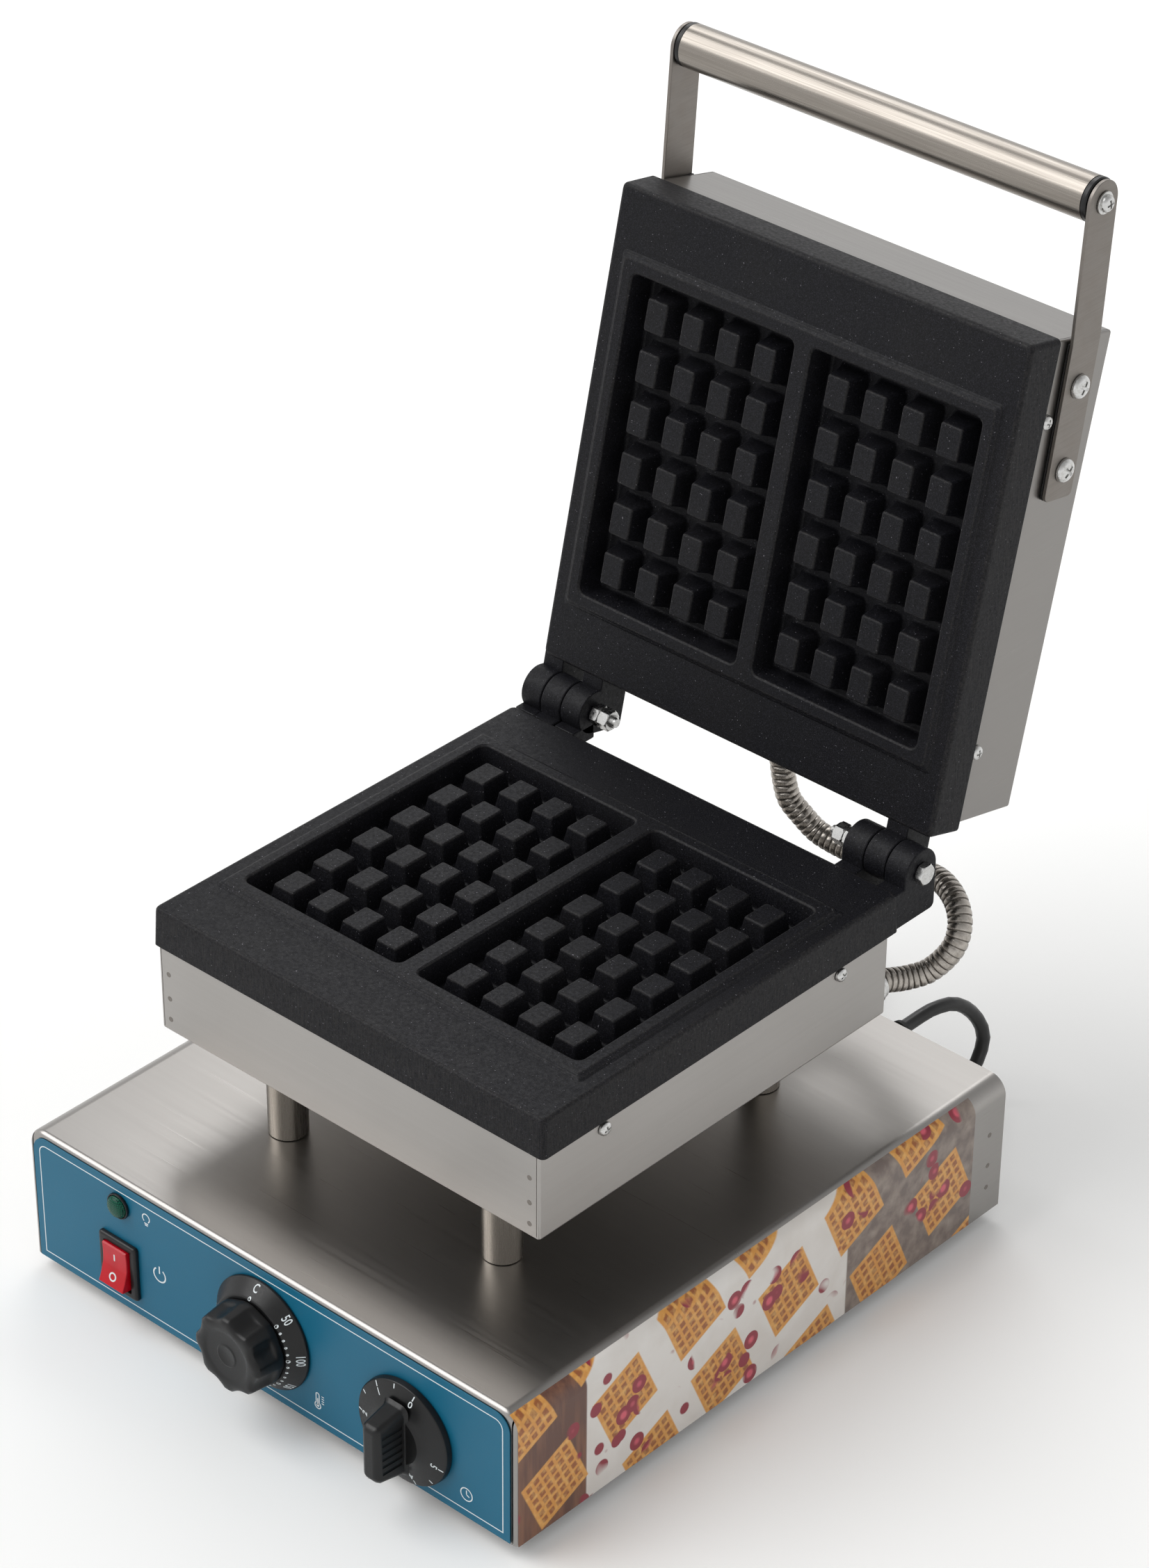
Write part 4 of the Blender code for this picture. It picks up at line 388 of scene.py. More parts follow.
def piece(name, mesh, finishes, body, replaces=(), sharp=35):
    """Links a mesh as one visual piece, with its finishes, soft shading, body, slot and the nodes it stands for."""
    obj = linked(name, mesh)
    for material in finishes if isinstance(finishes, list) else [finishes]:
        mesh.materials.append(material)
    mesh.shade_smooth()
    mesh.set_sharp_from_angle(angle=math.radians(sharp))
    weighted = obj.modifiers.new("even normals", "WEIGHTED_NORMAL")
    weighted.keep_sharp = True
    if body:
        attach(obj, body)
    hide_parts(*replaces)
    return obj


# ---------------------------------------------------------------- finishes


def linear(code):
    """Scene-linear RGBA from an sRGB hex code."""
    channels = [int(code[start : start + 2], 16) / 255 for start in (1, 3, 5)]
    return [c / 12.92 if c <= 0.04045 else ((c + 0.055) / 1.055) ** 2.4 for c in channels] + [1]


def add_node(tree, kind, settings=None, links=None):
    """Adds one node: settings are its properties or unlinked inputs, links say which socket feeds which input."""
    node = tree.nodes.new(kind)
    for key, value in (settings or {}).items():
        if isinstance(key, str) and hasattr(node, key):
            setattr(node, key, value)
        else:
            node.inputs[key].default_value = value
    for key, socket in (links or {}).items():
        tree.links.new(socket, node.inputs[key])
    return node


def math_node(tree, operation, first, second, clamp=False):
    """Joins a socket with another socket or a number by one operation."""
    settings, links = {"operation": operation, "use_clamp": clamp}, {0: first}
    (settings if isinstance(second, (int, float)) else links)[1] = second
    return add_node(tree, "ShaderNodeMath", settings, links).outputs[0]


def range_node(tree, value, low, high, to_low=0.0, to_high=1.0):
    """Carries a value from one range to another."""
    settings = {"From Min": low, "From Max": high, "To Min": to_low, "To Max": to_high}
    return add_node(tree, "ShaderNodeMapRange", settings, {"Value": value}).outputs[0]


class Finish:
    """One procedural material on a Principled shader, with its patterns scaled from real millimetres."""

    def __init__(self, name, colour, **sockets):
        self.material = bpy.data.materials.new(name)
        self.material.use_nodes = True
        self.tree = self.material.node_tree
        self.shader = self.tree.nodes["Principled BSDF"]
        self.shader.inputs["Base Color"].default_value = linear(colour) if isinstance(colour, str) else colour
        self.colour = None
        self.height = None
        for key, value in sockets.items():
            self.shader.inputs[key.replace("_", " ")].default_value = value
        self.where = add_node(self.tree, "ShaderNodeTexCoord").outputs["Object"]

    def noise(self, size_mm, detail=3, stretch=(1, 1, 1), distortion=0.0):
        """Noise with features of size_mm, longer along an axis by its stretch."""
        scale = [1000 / size_mm / factor for factor in stretch]
        mapped = add_node(self.tree, "ShaderNodeMapping", {"Scale": scale}, {"Vector": self.where})
        settings = {"Scale": 1, "Detail": detail, "Distortion": distortion}
        return add_node(self.tree, "ShaderNodeTexNoise", settings, {"Vector": mapped.outputs[0]}).outputs["Fac"]

    def ranged(self, value, low, high, to_low=0.0, to_high=1.0):
        return range_node(self.tree, value, low, high, to_low, to_high)

    def tint(self, share, colour):
        """Mixes another colour over the base by a share socket."""
        mix = add_node(self.tree, "ShaderNodeMix", {"data_type": "RGBA", 7: linear(colour)}, {0: share})
        if self.colour is None:
            mix.inputs[6].default_value = self.shader.inputs["Base Color"].default_value
        else:
            self.tree.links.new(self.colour, mix.inputs[6])
        self.colour = mix.outputs[2]
        self.tree.links.new(self.colour, self.shader.inputs["Base Color"])
        return self

    def patches(self, colour, size_mm, low, high, share, detail=3, **pattern):
        """Tints by noise that passes from low to high."""
        return self.tint(self.ranged(self.noise(size_mm, detail, **pattern), low, high, 0, share), colour)

    def rough(self, value, smoothest, roughest, low=0.3, high=0.7):
        self.tree.links.new(self.ranged(value, low, high, smoothest, roughest), self.shader.inputs["Roughness"])
        return self

    def relief(self, value, depth_mm, strength=1.0):
        settings = {"Strength": strength, "Distance": depth_mm / 1000}
        links = {"Height": value}
        if self.height is not None:
            links["Normal"] = self.height
        self.height = add_node(self.tree, "ShaderNodeBump", settings, links).outputs[0]
        self.tree.links.new(self.height, self.shader.inputs["Normal"])
        return self

    def math(self, operation, first, second):
        return math_node(self.tree, operation, first, second)

    def product(self, first, second):
        return self.math("MULTIPLY", first, second)

    def prisms(self, pitch, first, second):
        """A grid of small peaks over two coordinates."""
        return self.product(self.math("PINGPONG", first, pitch), self.math("PINGPONG", second, pitch))

    def axes(self):
        return add_node(self.tree, "ShaderNodeSeparateXYZ", None, {"Vector": self.where}).outputs


FINISHES = {}


def finish(name):
    if name not in FINISHES:
        FINISHES[name] = MAKERS[name](name)
    return FINISHES[name]


def brushed(name, stretch, painted_brightness=1.0):
    # Cold-rolled stainless with a belt-brushed grain: reflections smear across the grain, and long faint streaks show.
    # painted_brightness scales the steel's colour to make lighter and darker copies of one steel: painted light and
    # painted shade.
    ground = [channel * painted_brightness for channel in bpy.context.scene.waffle_maker.steel_colour[:3]] + [1]
    made = Finish(name, ground, Metallic=1.0, Roughness=0.3)
    streaks = made.noise(0.45, 4, stretch)
    broad = made.noise(2.6, 2, stretch)
    made.tint(made.ranged(broad, 0.35, 0.75, 0, 0.07), "#8a8682")
    made.patches("#989490", 70, 0.35, 0.7, 0.22, 2)
    made.rough(made.math("ADD", made.product(streaks, 0.8), made.product(broad, 0.2)), 0.27, 0.36)
    made.relief(streaks, 0.008, 0.4)
    return made.material


def satin_tube(name):
    # Drawn stainless tube, polished along its length: tight bright bands run down it with soft edges.
    made = Finish(name, "#969089", Metallic=1.0, Roughness=0.25)
    lines = made.noise(0.6, 3, (90, 1, 1))
    made.tint(made.ranged(lines, 0.4, 0.7, 0, 0.4), "#726b64").rough(lines, 0.24, 0.36)
    made.relief(lines, 0.006, 0.4)
    return made.material


def turned_tube(name):
    # Short cut lengths of satin tube, brushed round.
    made = Finish(name, "#a8a29a", Metallic=1.0, Roughness=0.28)
    lines = made.noise(0.7, 3, (1, 1, 30))
    made.rough(lines, 0.2, 0.36).relief(lines, 0.006, 0.4)
    return made.material


def zinc(name):
    # Bright zinc plating on pressed screws: pale blue-white metal, slightly cloudy, with fine tool marks.
    made = Finish(name, "#d3d3d2", Metallic=1.0, Roughness=0.25)
    cloud = made.noise(1.6, 3)
    made.tint(made.ranged(cloud, 0.45, 0.75, 0, 0.5), "#a5a29b").rough(cloud, 0.16, 0.38)
    made.relief(made.noise(0.25, 2), 0.01, 0.4)
    return made.material


def strap_steel(name):
    # Guillotined flat bar with a dull mill finish: warm grey, broad soft highlights, no clear reflection.
    made = Finish(name, "#847f7a", Metallic=1.0, Roughness=0.38)
    grain = made.noise(0.7, 4, (1, 25, 1))
    made.patches("#7d756e", 9, 0.4, 0.7, 0.35)
    made.rough(grain, 0.36, 0.5).relief(grain, 0.01, 0.4)
    return made.material


def iron(name, edge_wear_and_highlight, streaked):
    # Sand-cast iron under a baked black coat: a fine sandy skin breaks the light into grain, with sparse bright specks.
    made = Finish(name, bpy.context.scene.waffle_maker.iron_colour[:], Roughness=0.5, Specular_IOR_Level=0.18)
    grit = made.noise(0.55, 5)
    coarse = made.noise(1.7, 4)
    made.patches("#151415", 38, 0.42, 0.66, 0.5, 4, distortion=0.4)
    made.tint(made.ranged(coarse, 0.52, 0.72, 0, 0.4), "#080809")
    made.tint(made.ranged(grit, 0.5, 0.62, 0, 0.55), "#2c2c32")
    made.patches("#85838a", 0.9, 0.74, 0.8, 0.8, 1)
    if edge_wear_and_highlight:
        # Edge faces are tinted greyer: a painted highlight along the rolled edges, and partly metal rubbed back by
        # handling.
        made.tint(made.ranged(made.noise(1.2, 4), 0.42, 0.66, 0.05, 0.5), "#343231")
    if streaked:
        # The sides were faced on a grinder, which left upright scratches in a slightly brighter skin.
        scratches = made.noise(0.45, 4, (1, 1, 24))
        made.tint(made.ranged(scratches, 0.45, 0.7, 0, 0.6), "#302e2d")
        made.relief(scratches, 0.05, 0.5)
    made.rough(coarse, 0.42, 0.62)
    made.relief(grit, 0.10, 0.55).relief(coarse, 0.12, 0.4)
    return made.material


def overlay(name):
    # Screen-printed polycarbonate overlay with a velvet top coat: even colour, soft wide highlight, very fine grain.
    made = Finish(name, bpy.context.scene.waffle_maker.overlay_colour[:], Roughness=0.4, Specular_IOR_Level=0.3)
    made.patches("#1d6d8b", 70, 0.35, 0.7, 0.3, 2)
    made.rough(made.noise(0.5, 3), 0.33, 0.43).relief(made.noise(0.35, 2), 0.008, 0.4)
    return made.material


def red_lens(name):
    # Moulded translucent red polycarbonate: saturated and wet-looking, with a fine prism pattern under its upper half.
    sockets = {"Roughness": 0.2, "Coat Weight": 0.1, "Coat Roughness": 0.1, "Specular IOR Level": 0.3}
    made = Finish(name, bpy.context.scene.waffle_maker.rocker_colour[:], **sockets, Subsurface_Weight=0.25)
    made.shader.inputs["Subsurface Radius"].default_value = (0.003, 0.0006, 0.0004)
    x, _, z = made.axes()
    ridges = made.prisms(0.0004, x, z)
    upper = made.ranged(z, SWITCH[1] + 0.0002, SWITCH[1] + 0.0006)
    pattern = made.product(made.ranged(ridges, 0, 0.00000012), upper)
    made.tint(made.product(pattern, 0.5), "#d42a3c")
    made.patches("#9c0b0c", 6, 0.45, 0.7, 0.4)
    made.relief(pattern, 0.05, 0.5)
    return made.material


def green_lens(name):
    # Moulded green acrylic pilot lens: dark and glassy, a grid of tiny prisms catching the light, painted as a lighter
    # green grid.
    made = Finish(name, bpy.context.scene.waffle_maker.lens_colour[:], Roughness=0.15, Specular_IOR_Level=0.22)
    x, _, z = made.axes()
    grid = made.prisms(0.0005, x, z)
    made.tint(made.ranged(grid, 0, 0.0000002, 0, 0.8), "#0e6a4e").relief(made.ranged(grid, 0, 0.0000002), 0.1, 0.6)
    return made.material


def even(colour, patches, rough=None, relief=None, **sockets):
    """A maker of one even finish: patches of a second colour, uneven roughness and a fine relief, each by its noise."""

    def make(name):
        made = Finish(name, colour, **sockets).patches(*patches)
        if rough:
            size, smoothest, roughest = rough
            made.rough(made.noise(size), smoothest, roughest)
        if relief:
            size, detail, depth, strength = relief
            made.relief(made.noise(size, detail), depth, strength)
        return made.material

    return make


def side_film(name):
    # Printed vinyl film, glossy under a clear coat: golden gridded tiles and berry dots over three fields, cocoa brown
    # at the front, pale in the middle and taupe at the rear.
    made = Finish(name, "#e6e2dd", Roughness=0.3, Coat_Weight=0.3, Coat_Roughness=0.15)
    _, y, z = made.axes()
    tilt = math.radians(24)
    u = made.math("ADD", made.product(y, math.cos(tilt)), made.product(z, math.sin(tilt)))
    v = made.math("SUBTRACT", made.product(z, math.cos(tilt)), made.product(y, math.sin(tilt)))
    made.patches("#cfc6bc", 24, 0.4, 0.75, 0.5, distortion=0.3)
    front = made.ranged(y, FILM_FRONT_FIELD, FILM_FRONT_FIELD - 0.001)
    rear = made.ranged(y, FILM_REAR_FIELD, FILM_REAR_FIELD + 0.001)
    made.tint(front, "#5b3526")
    made.tint(made.product(front, made.ranged(made.noise(4, 4, (1, 1, 9)), 0.4, 0.7, 0, 0.7)), "#8a5a3c")
    made.tint(rear, "#6f6059")
    made.tint(made.product(rear, made.ranged(made.noise(9, 4), 0.4, 0.7, 0, 0.7)), "#a7998c")
    # Tiles repeat on a slanted square lattice; each is a square of grid bars with deeper-toned pockets.
    in_u, in_v, bar_u, bar_v = (made.math("PINGPONG", along, pitch) for pitch in (0.026, 0.0026) for along in (u, v))
    tile, rim, pocket = (
        made.product(made.ranged(first, low, high), made.ranged(second, low, high))
        for first, second, low, high in (
            (in_u, in_v, 0.0175, 0.0168), (in_u, in_v, 0.0160, 0.0150), (bar_u, bar_v, 0.0006, 0.0012)
        )
    )
    made.tint(tile, "#d8953f")
    made.tint(made.product(made.product(tile, rim), pocket), "#9a541d")
    made.tint(made.product(tile, made.ranged(made.noise(3.5, 3), 0.45, 0.75, 0, 0.6)), "#efc071")
    dots = add_node(made.tree, "ShaderNodeTexVoronoi", {"Scale": 74}, {"Vector": made.where}).outputs["Distance"]
    berry = made.product(made.ranged(dots, 0.40, 0.37), made.ranged(made.noise(34, 1), 0.53, 0.56))
    made.tint(berry, "#8f1730")
    made.tint(made.product(berry, made.ranged(dots, 0.22, 0.12)), "#d7586a")
    made.relief(made.noise(0.5, 2), 0.006, 0.4)
    return made.material


MAKERS = {
    "brushed stainless, grain across": lambda name: brushed(name, (160, 1, 1)),
    "brushed stainless, grain lengthwise": lambda name: brushed(name, (1, 160, 1)),
    # The housings are one steel: the lower housing's copy is painted lighter and the lid housing's darker, as painted
    # light and painted shade.
    "brushed stainless, lower housing, painted light": lambda name: brushed(name, (160, 160, 1), 1.12),
    "brushed stainless, lid housing, painted shade": lambda name: brushed(name, (160, 160, 1), 0.74),
    "drawn satin tube": satin_tube,
    "cut satin tube": turned_tube,
    "zinc-plated steel": zinc,
    "mill-finish flat bar": strap_steel,
    "sand-cast iron": lambda name: iron(name, False, False),
    # The edge iron's greyer tint is a painted highlight along the edges, partly wear.
    "sand-cast iron, worn edge with painted highlight": lambda name: iron(name, True, False),
    "sand-cast iron, ground side": lambda name: iron(name, False, True),
    "screen-printed overlay": overlay,
    # Injection-moulded black nylon with a fine eroded grain: deep black with a broad satin sheen.
    "moulded black nylon": even(
        "#0c0c0d", ("#131314", 14, 0.4, 0.7, 0.35), (1.2, 0.30, 0.42), (0.22, 3, 0.02, 0.5),
        Roughness=0.34, Specular_IOR_Level=0.4,
    ),
    # Pressed synthetic rubber: matt charcoal with a dusty bloom.
    "pressed rubber": even(
        "#1b1b1b", ("#2c2b2a", 5, 0.45, 0.75, 0.5), (1, 0.6, 0.8), (0.4, 3, 0.03, 0.5), Roughness=0.7
    ),
    "moulded red polycarbonate": red_lens,
    "moulded green acrylic": green_lens,
    # Thick screen-printed ink: off-white and matt, slightly patchy at its edges.
    "screen-printed white ink": even("#dfe6e8", ("#b9c4c9", 0.8, 0.5, 0.8, 0.3), Roughness=0.5),
    # Extruded black PVC sheath: smooth satin skin.
    "extruded PVC sheath": even(
        "#151515", ("#222222", 20, 0.45, 0.7, 0.4), (2.5, 0.3, 0.44), (0.8, 2, 0.015, 0.4), Roughness=0.36
    ),
    # Wound galvanised strip: bright rounded ribs over dark seams, a little oxidised.
    "wound galvanised strip": even(
        "#b3ada6", ("#837c74", 2.2, 0.45, 0.7, 0.55), (0.7, 0.22, 0.42), Metallic=1.0, Roughness=0.3
    ),
    # The shadowed overlap between two windings, filled with dull oxide and grease.
    "conduit seam": even("#6f6a64", ("#4a4540", 1.1, 0.4, 0.7, 0.5), Metallic=0.9, Roughness=0.45),
    # Turned brass dulled by handling: warm yellow metal with brown bloom.
    "turned brass": even("#b3925a", ("#7e6238", 2.6, 0.45, 0.7, 0.5), (0.9, 0.26, 0.44), Metallic=1.0, Roughness=0.34),
    # Heat-blued steel sheath of a tubular heater: dull brown-grey oxide.
    "oxidised heater sheath": even(
        "#4a423c", ("#2c2a30", 7, 0.4, 0.7, 0.6), (1.5, 0.45, 0.65), Metallic=0.8, Roughness=0.55
    ),
    "printed vinyl film": side_film,
}


# ---------------------------------------------------------------- camera and cord


def build_camera():
    azimuth, elevation, roll = math.radians(41.41), math.radians(35.67), math.radians(0.92)
    back = Vector(
        (
            math.sin(azimuth) * math.cos(elevation),
            -math.cos(azimuth) * math.cos(elevation),
            math.sin(elevation),
        )
    )
    right = Vector((math.cos(azimuth), math.sin(azimuth), 0))
    up = back.cross(right)
    rolled = right * math.cos(roll) + up * math.sin(roll)
    upward = up * math.cos(roll) - right * math.sin(roll)
    data = bpy.data.cameras.new("camera")
    data.lens, data.sensor_width, data.sensor_fit = 110.56, 36, "AUTO"
    data.shift_x, data.shift_y = -0.03715, 0.16697
    data.clip_start, data.clip_end = 0.05, 50
    camera = linked("camera", data)
    turn = Matrix((rolled, upward, back)).transposed().to_4x4()
    camera.matrix_world = Matrix.Translation(MACHINE @ Vector((1.2897, -1.3812, 1.4755))) @ turn
    bpy.context.scene.camera = camera


def cord_line():
    """The mains lead's middle line: down from the gland, along the floor, and five turns into a coil."""
    coil_z = CORD_RADIUS + 0.0013
    knots = [
        CORD_EXIT,
        (0.0756, CORD_EXIT.y + 0.0075, 0.0605),
        (0.0773, 0.2235, 0.0618),
        (0.0800, 0.2390, 0.0587),
        (0.0828, 0.2520, 0.0467),
        (0.0862, 0.2568, 0.0330),
        (0.0868, 0.2525, 0.0200),
        (0.0860, 0.2430, 0.0102),
        (0.0830, 0.2310, 0.0052),
        *(
            (x, y, CORD_RADIUS + GAP) for x,
            y in ((0.0765, 0.2195), (0.0625, 0.2080), (0.0440, 0.2038), (0.0200, 0.2030))
        ),
        (COIL_X + 0.033, COIL_Y, coil_z),
        (COIL_X + 0.015 + GAP, COIL_Y, coil_z),
    ]
    free = smooth_route(knots, 0.0066)
    length = sum((b - a).length for a, b in zip(free, free[1:]))
    pitch, lead_in, middle = CORD_RADIUS * 2 + 0.0008, 0.015, COIL_TURNS / 2
    inner = (CORD_LENGTH - length - lead_in - COIL_TAIL) / (math.tau * COIL_TURNS) - pitch * 1.25
    centre_y = COIL_Y + inner + pitch * middle
    coil = [Vector((COIL_X + lead_in, COIL_Y, coil_z))]
    for step in range(24 * COIL_TURNS + 1):
        turned_by = step / 24
        radius, angle = inner + pitch * abs(turned_by - middle), -QUARTER - math.tau * turned_by
        climb = min(1, max(0, (turned_by - middle) * 2 + 0.5))
        height = coil_z + pitch * climb**2 * (3 - 2 * climb)
        coil.append(Vector((COIL_X + math.cos(angle) * radius, centre_y + math.sin(angle) * radius, height)))
    coil += [Vector((COIL_X - COIL_TAIL * share, COIL_Y, coil_z + pitch)) for share in (0.5, 1)]
    return free[:-1] + coil, Vector((COIL_X, centre_y, coil_z)), inner + pitch * 1.25


def build_cord():
    points, coil_centre, coil_radius = cord_line()
    points = [MACHINE @ point for point in points]
    curve = bpy.data.curves.new("mains_lead", "CURVE")
    curve.dimensions = "3D"
    curve.bevel_depth = CORD_RADIUS
    curve.bevel_resolution = 4
    curve.use_fill_caps = True
    spline = curve.splines.new("POLY")
    spline.points.add(len(points) - 1)
    for target, point in zip(spline.points, points):
        target.co = (*point, 1)
    spline.use_smooth = True
    curve.materials.append(finish("extruded PVC sheath"))
    lead = linked("mains_lead", curve)
    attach(lead, "base")
    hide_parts("mains_cord", "mains_cord_coil")

    # The strain relief tapers towards the lead, with four grooves round it.
    profile = [(0.0042, -0.0045), (0.0060, -0.0045), (0.0060, 0), (0.0078, 0), (0.0078, 0.0034), (0.0074, 0.004)]
    for start in (0.007, 0.0115, 0.016, 0.0205):
        radius = 0.0074 - (start - 0.004) * 0.11
        profile += [
            (radius, start), (radius - 0.0012, start + 0.0005), (radius - 0.0014, start + 0.0018),
            (radius - 0.0002, start + 0.0023),
        ]
    profile += [(0.0049, 0.0252), (0.0046, 0.0258), (0.0042, 0.0258)]
    gland = turned(profile, 40, closed=True)
    place = MACHINE @ Matrix.Translation((CORD_EXIT.x, HALF_DEPTH + GAP, CORD_EXIT.z)) @ TO_REAR
    gland = piece(
        "strain_relief", gland.mesh("gland", place), finish("pressed rubber"), "base", ["cord_gland"]
    )

    right = COIL_X - COIL_TAIL - GAP
    rings = []
    for share, grow in (
        (0, -0.0035), (0.03, -0.001), (0.1, 0), (0.55, 0.0), (0.72, -0.0006), (0.93, -0.0018), (0.98, -0.003),
        (1, -0.006),
    ):
        taper = 1 - max(0, share - 0.5) * 0.36
        outline = rounded((0.024 + grow) * taper, 0.0117 + min(grow, 0), 0.0065, 6)
        rings.append([(right - PLUG_LENGTH * (1 - share), COIL_Y + x, 0.0121 + z) for x, z in outline])
    plug = Shape().loft(rings)
    for groove in range(4):
        x = right - 0.0042 - groove * 0.0036
        plug.add(brick((x - 0.0006, COIL_Y - 0.0140, 0.0022), (x + 0.0006, COIL_Y + 0.0140, 0.0236)))
    middle = right - PLUG_LENGTH / 2
    for x, y, half_x, half_y, length in (
        (middle + PIN_REACH, COIL_Y - PIN_REACH, 0.002, 0.00315, 0.0177),
        (middle + PIN_REACH, COIL_Y + PIN_REACH, 0.002, 0.00315, 0.0177),
        (middle - PIN_REACH, COIL_Y, 0.002, 0.004, 0.0227),
    ):
        plug.add(
            brick((x - half_x, y - half_y, 0.0230), (x + half_x, y + half_y, 0.024 + length), 0.0007, 0.0008), mark=1
        )
    finishes = [finish("moulded black nylon"), finish("turned brass")]
    plug = piece("mains_plug_body", plug.mesh("plug", MACHINE), finishes, "base", ["mains_plug"])

    # A black tie round all the coil's turns, on the side away from the machine.
    x, y = coil_centre.x, coil_centre.y + coil_radius
    rings = []
    for across, grow, corner in (
        (-0.0034, -0.0005, 0.0040), (-0.0030, 0, 0.0040), (0.0030, 0, 0.0040), (0.0034, -0.0005, 0.0040),
        (0.0034, -0.0009, 0.0036), (-0.0034, -0.0009, 0.0036),
    ):
        outline = rounded(0.0150 + grow, 0.0082 + grow, corner)
        rings.append([(x + across, y + along, 0.0083 + height) for along, height in outline])
    tie = Shape().loft(rings, wrap=True)
    tie = piece("cord_tie", tie.mesh("tie", MACHINE), finish("pressed rubber"), "base")


# ---------------------------------------------------------------- base


def base_section(inset, foot=BASE_FOOT, steps=8):
    """The cover's cross-section as (x, z), from the left foot over the top to the right foot."""
    half, bend = SIDE_X - inset, 0.010 - inset
    side = [(half, foot), *arc((half - bend, BASE_TOP - inset - bend), bend, 0, QUARTER, steps)]
    return [(-x, z) for x, z in side] + side[::-1]


def build_base():
    grain = finish("brushed stainless, grain across")
    side_grain = finish("brushed stainless, grain lengthwise")
    # One folded sheet: the skin runs round the front bend, and the inside is cut out a sheet's thickness within it.
    bend, rings = 0.003, []
    for step in range(7):
        turn = QUARTER * step / 6
        inset, y = bend * (1 - math.sin(turn)), -HALF_DEPTH + bend * (1 - math.cos(turn))
        rings.append([(x, y, z) for x, z in base_section(inset)])
    rings.append([(x, HALF_DEPTH, z) for x, z in base_section(0)])
    mesh = Shape().loft(rings).mesh("base_shell")
    inner = [
        [(x, y, z) for x, z in base_section(SHEET, BASE_FOOT - 0.004)] for y in (SHEET - HALF_DEPTH, HALF_DEPTH + 0.01)
    ]
    cutters = [Shape().loft(inner).mesh("inside")]
    for side in (-1, 1):
        x = side * (SIDE_X - 0.0031)
        slit = brick(
            (x - 0.0004, -0.180, 0.004), (x + 0.0004, SHEET + GAP - HALF_DEPTH, BASE_TOP - 0.003), 0.00038, 0.0001
        )
        cutters.append(slit.mesh("slit"))
    for (x, z), radius in PANEL_HOLES:
        hole = turned([(0, -0.01), (radius, -0.01), (radius, 0.01), (0, 0.01)], 24)
        cutters.append(hole.mesh("hole", Matrix.Translation((x, -HALF_DEPTH, z)) @ TO_FRONT))
    x, z = SWITCH
    low, high = (x - SWITCH_HALF_X, -0.19, z - SWITCH_HALF_Z), (x + SWITCH_HALF_X, -0.16, z + SWITCH_HALF_Z)
    cutters.append(brick(low, high, 0.0004, 0.0001).mesh("hole"))
    mesh = boolean(mesh, cutters)
    for polygon in mesh.polygons:
        polygon.material_index = 1 if abs(polygon.normal.x) > 0.9 and abs(polygon.center.x) > SIDE_X - 0.002 else 0
    mesh.transform(MACHINE)
    piece("base_shell", mesh, [grain, side_grain], "base", ["base_cover"], sharp=50)

    # Spot welds that hold the rear pan: shallow rings of heat-marked metal.
    welds = Shape()
    for side in (-1, 1):
        for z in (0.0568, 0.038, 0.0246):
            dimple = turned(WELD_RING, 20)
            welds.add(dimple, Matrix.Translation((side * SIDE_X, 0.165, z)) @ sideways(side))
    piece("base_spot_welds", welds.mesh("welds", MACHINE), finish("mill-finish flat bar"), "base")

    profile = [
        (0, -GAP), (0.0106, -GAP), (0.011, -0.0008), (0.011, -0.0034), (0.0105, -0.0042), (0.0094, -0.0074),
        (0.0088, -0.0080), (0.0045, -0.0080), (0.0040, -0.0072), (0, -0.0072),
    ]
    for side, across, end, along in CORNERS:
        place = MACHINE @ Matrix.Translation((side * (SIDE_X - 0.024), end * (HALF_DEPTH - 0.024), BASE_FOOT))
        mesh, name = turned(profile, 40).mesh("foot", place), f"foot_{along}_{across}"
        piece(f"rubber_{name}", mesh, finish("pressed rubber"), "base", [name])

    low, high, outer, inner = GAP, 0.0477 - GAP, 0.010, 0.0088
    profile = [
        (outer, low + 0.0002), (outer, high - 0.0002), (outer - 0.0002, high), (inner, high), (inner, low),
        (outer - 0.0002, low),
    ]
    for side, across, end, along in CORNERS:
        place = MACHINE @ Matrix.Translation((0.0039 + side * 0.07075, -0.001 + end * 0.092, BASE_TOP))
        mesh, name = turned(profile, 48, closed=True).mesh("post", place), f"{along}_{across}"
        piece(f"post_tube_{name}", mesh, finish("cut satin tube"), "base", [f"post_{name}"])


def overlay_outline(inset):
    """The front film's edge, or a line within it, with its two upper corners rounded."""
    right, corner = SIDE_X - 0.0041 - inset, 0.009 - inset
    foot, head = BASE_FOOT + 0.0008 + inset, BASE_TOP - 0.0024 - inset
    points = [(-right, foot), (right, foot)]
    points += arc((right - corner, head - corner), corner, 0, QUARTER, 10)
    points += arc((-right + corner, head - corner), corner, QUARTER, math.pi, 10)
    return points


def flat(points, faces=None):
    """A shape with no thickness yet, of (x, y) points with one face round them, or with the faces given."""
    shape = Shape()
    shape.points = [Vector((*point, 0)) for point in points]
    shape.faces = faces or [list(range(len(points)))]
    shape.marks = [0] * len(shape.faces)
    return shape


def band(outer, inner, closed=True):
    """A flat frame between two loops or lines of equal length."""
    count = len(outer)
    pairs = [(index, (index + 1) % count) for index in range(count if closed else count - 1)]
    return flat([*outer, *inner], [[index, after, count + after, count + index] for index, after in pairs])


def dot(x, y, radius):
    return flat(circle(radius, 20, (x, y)))


def stroke(first, second, width):
    """A flat bar between two points."""
    first, second = Vector(first), Vector(second)
    side = (second - first).normalized().orthogonal() * width / 2
    return flat((first - side, second - side, second + side, first + side))


def bow(centre, radius, start, end, width, steps=14):
    """A flat arc of a given line width, from a start to an end in degrees."""
    start, end = math.radians(start), math.radians(end)
    return band(*(arc(centre, radius + grow, start, end, steps) for grow in (width / 2, -width / 2)), closed=False)


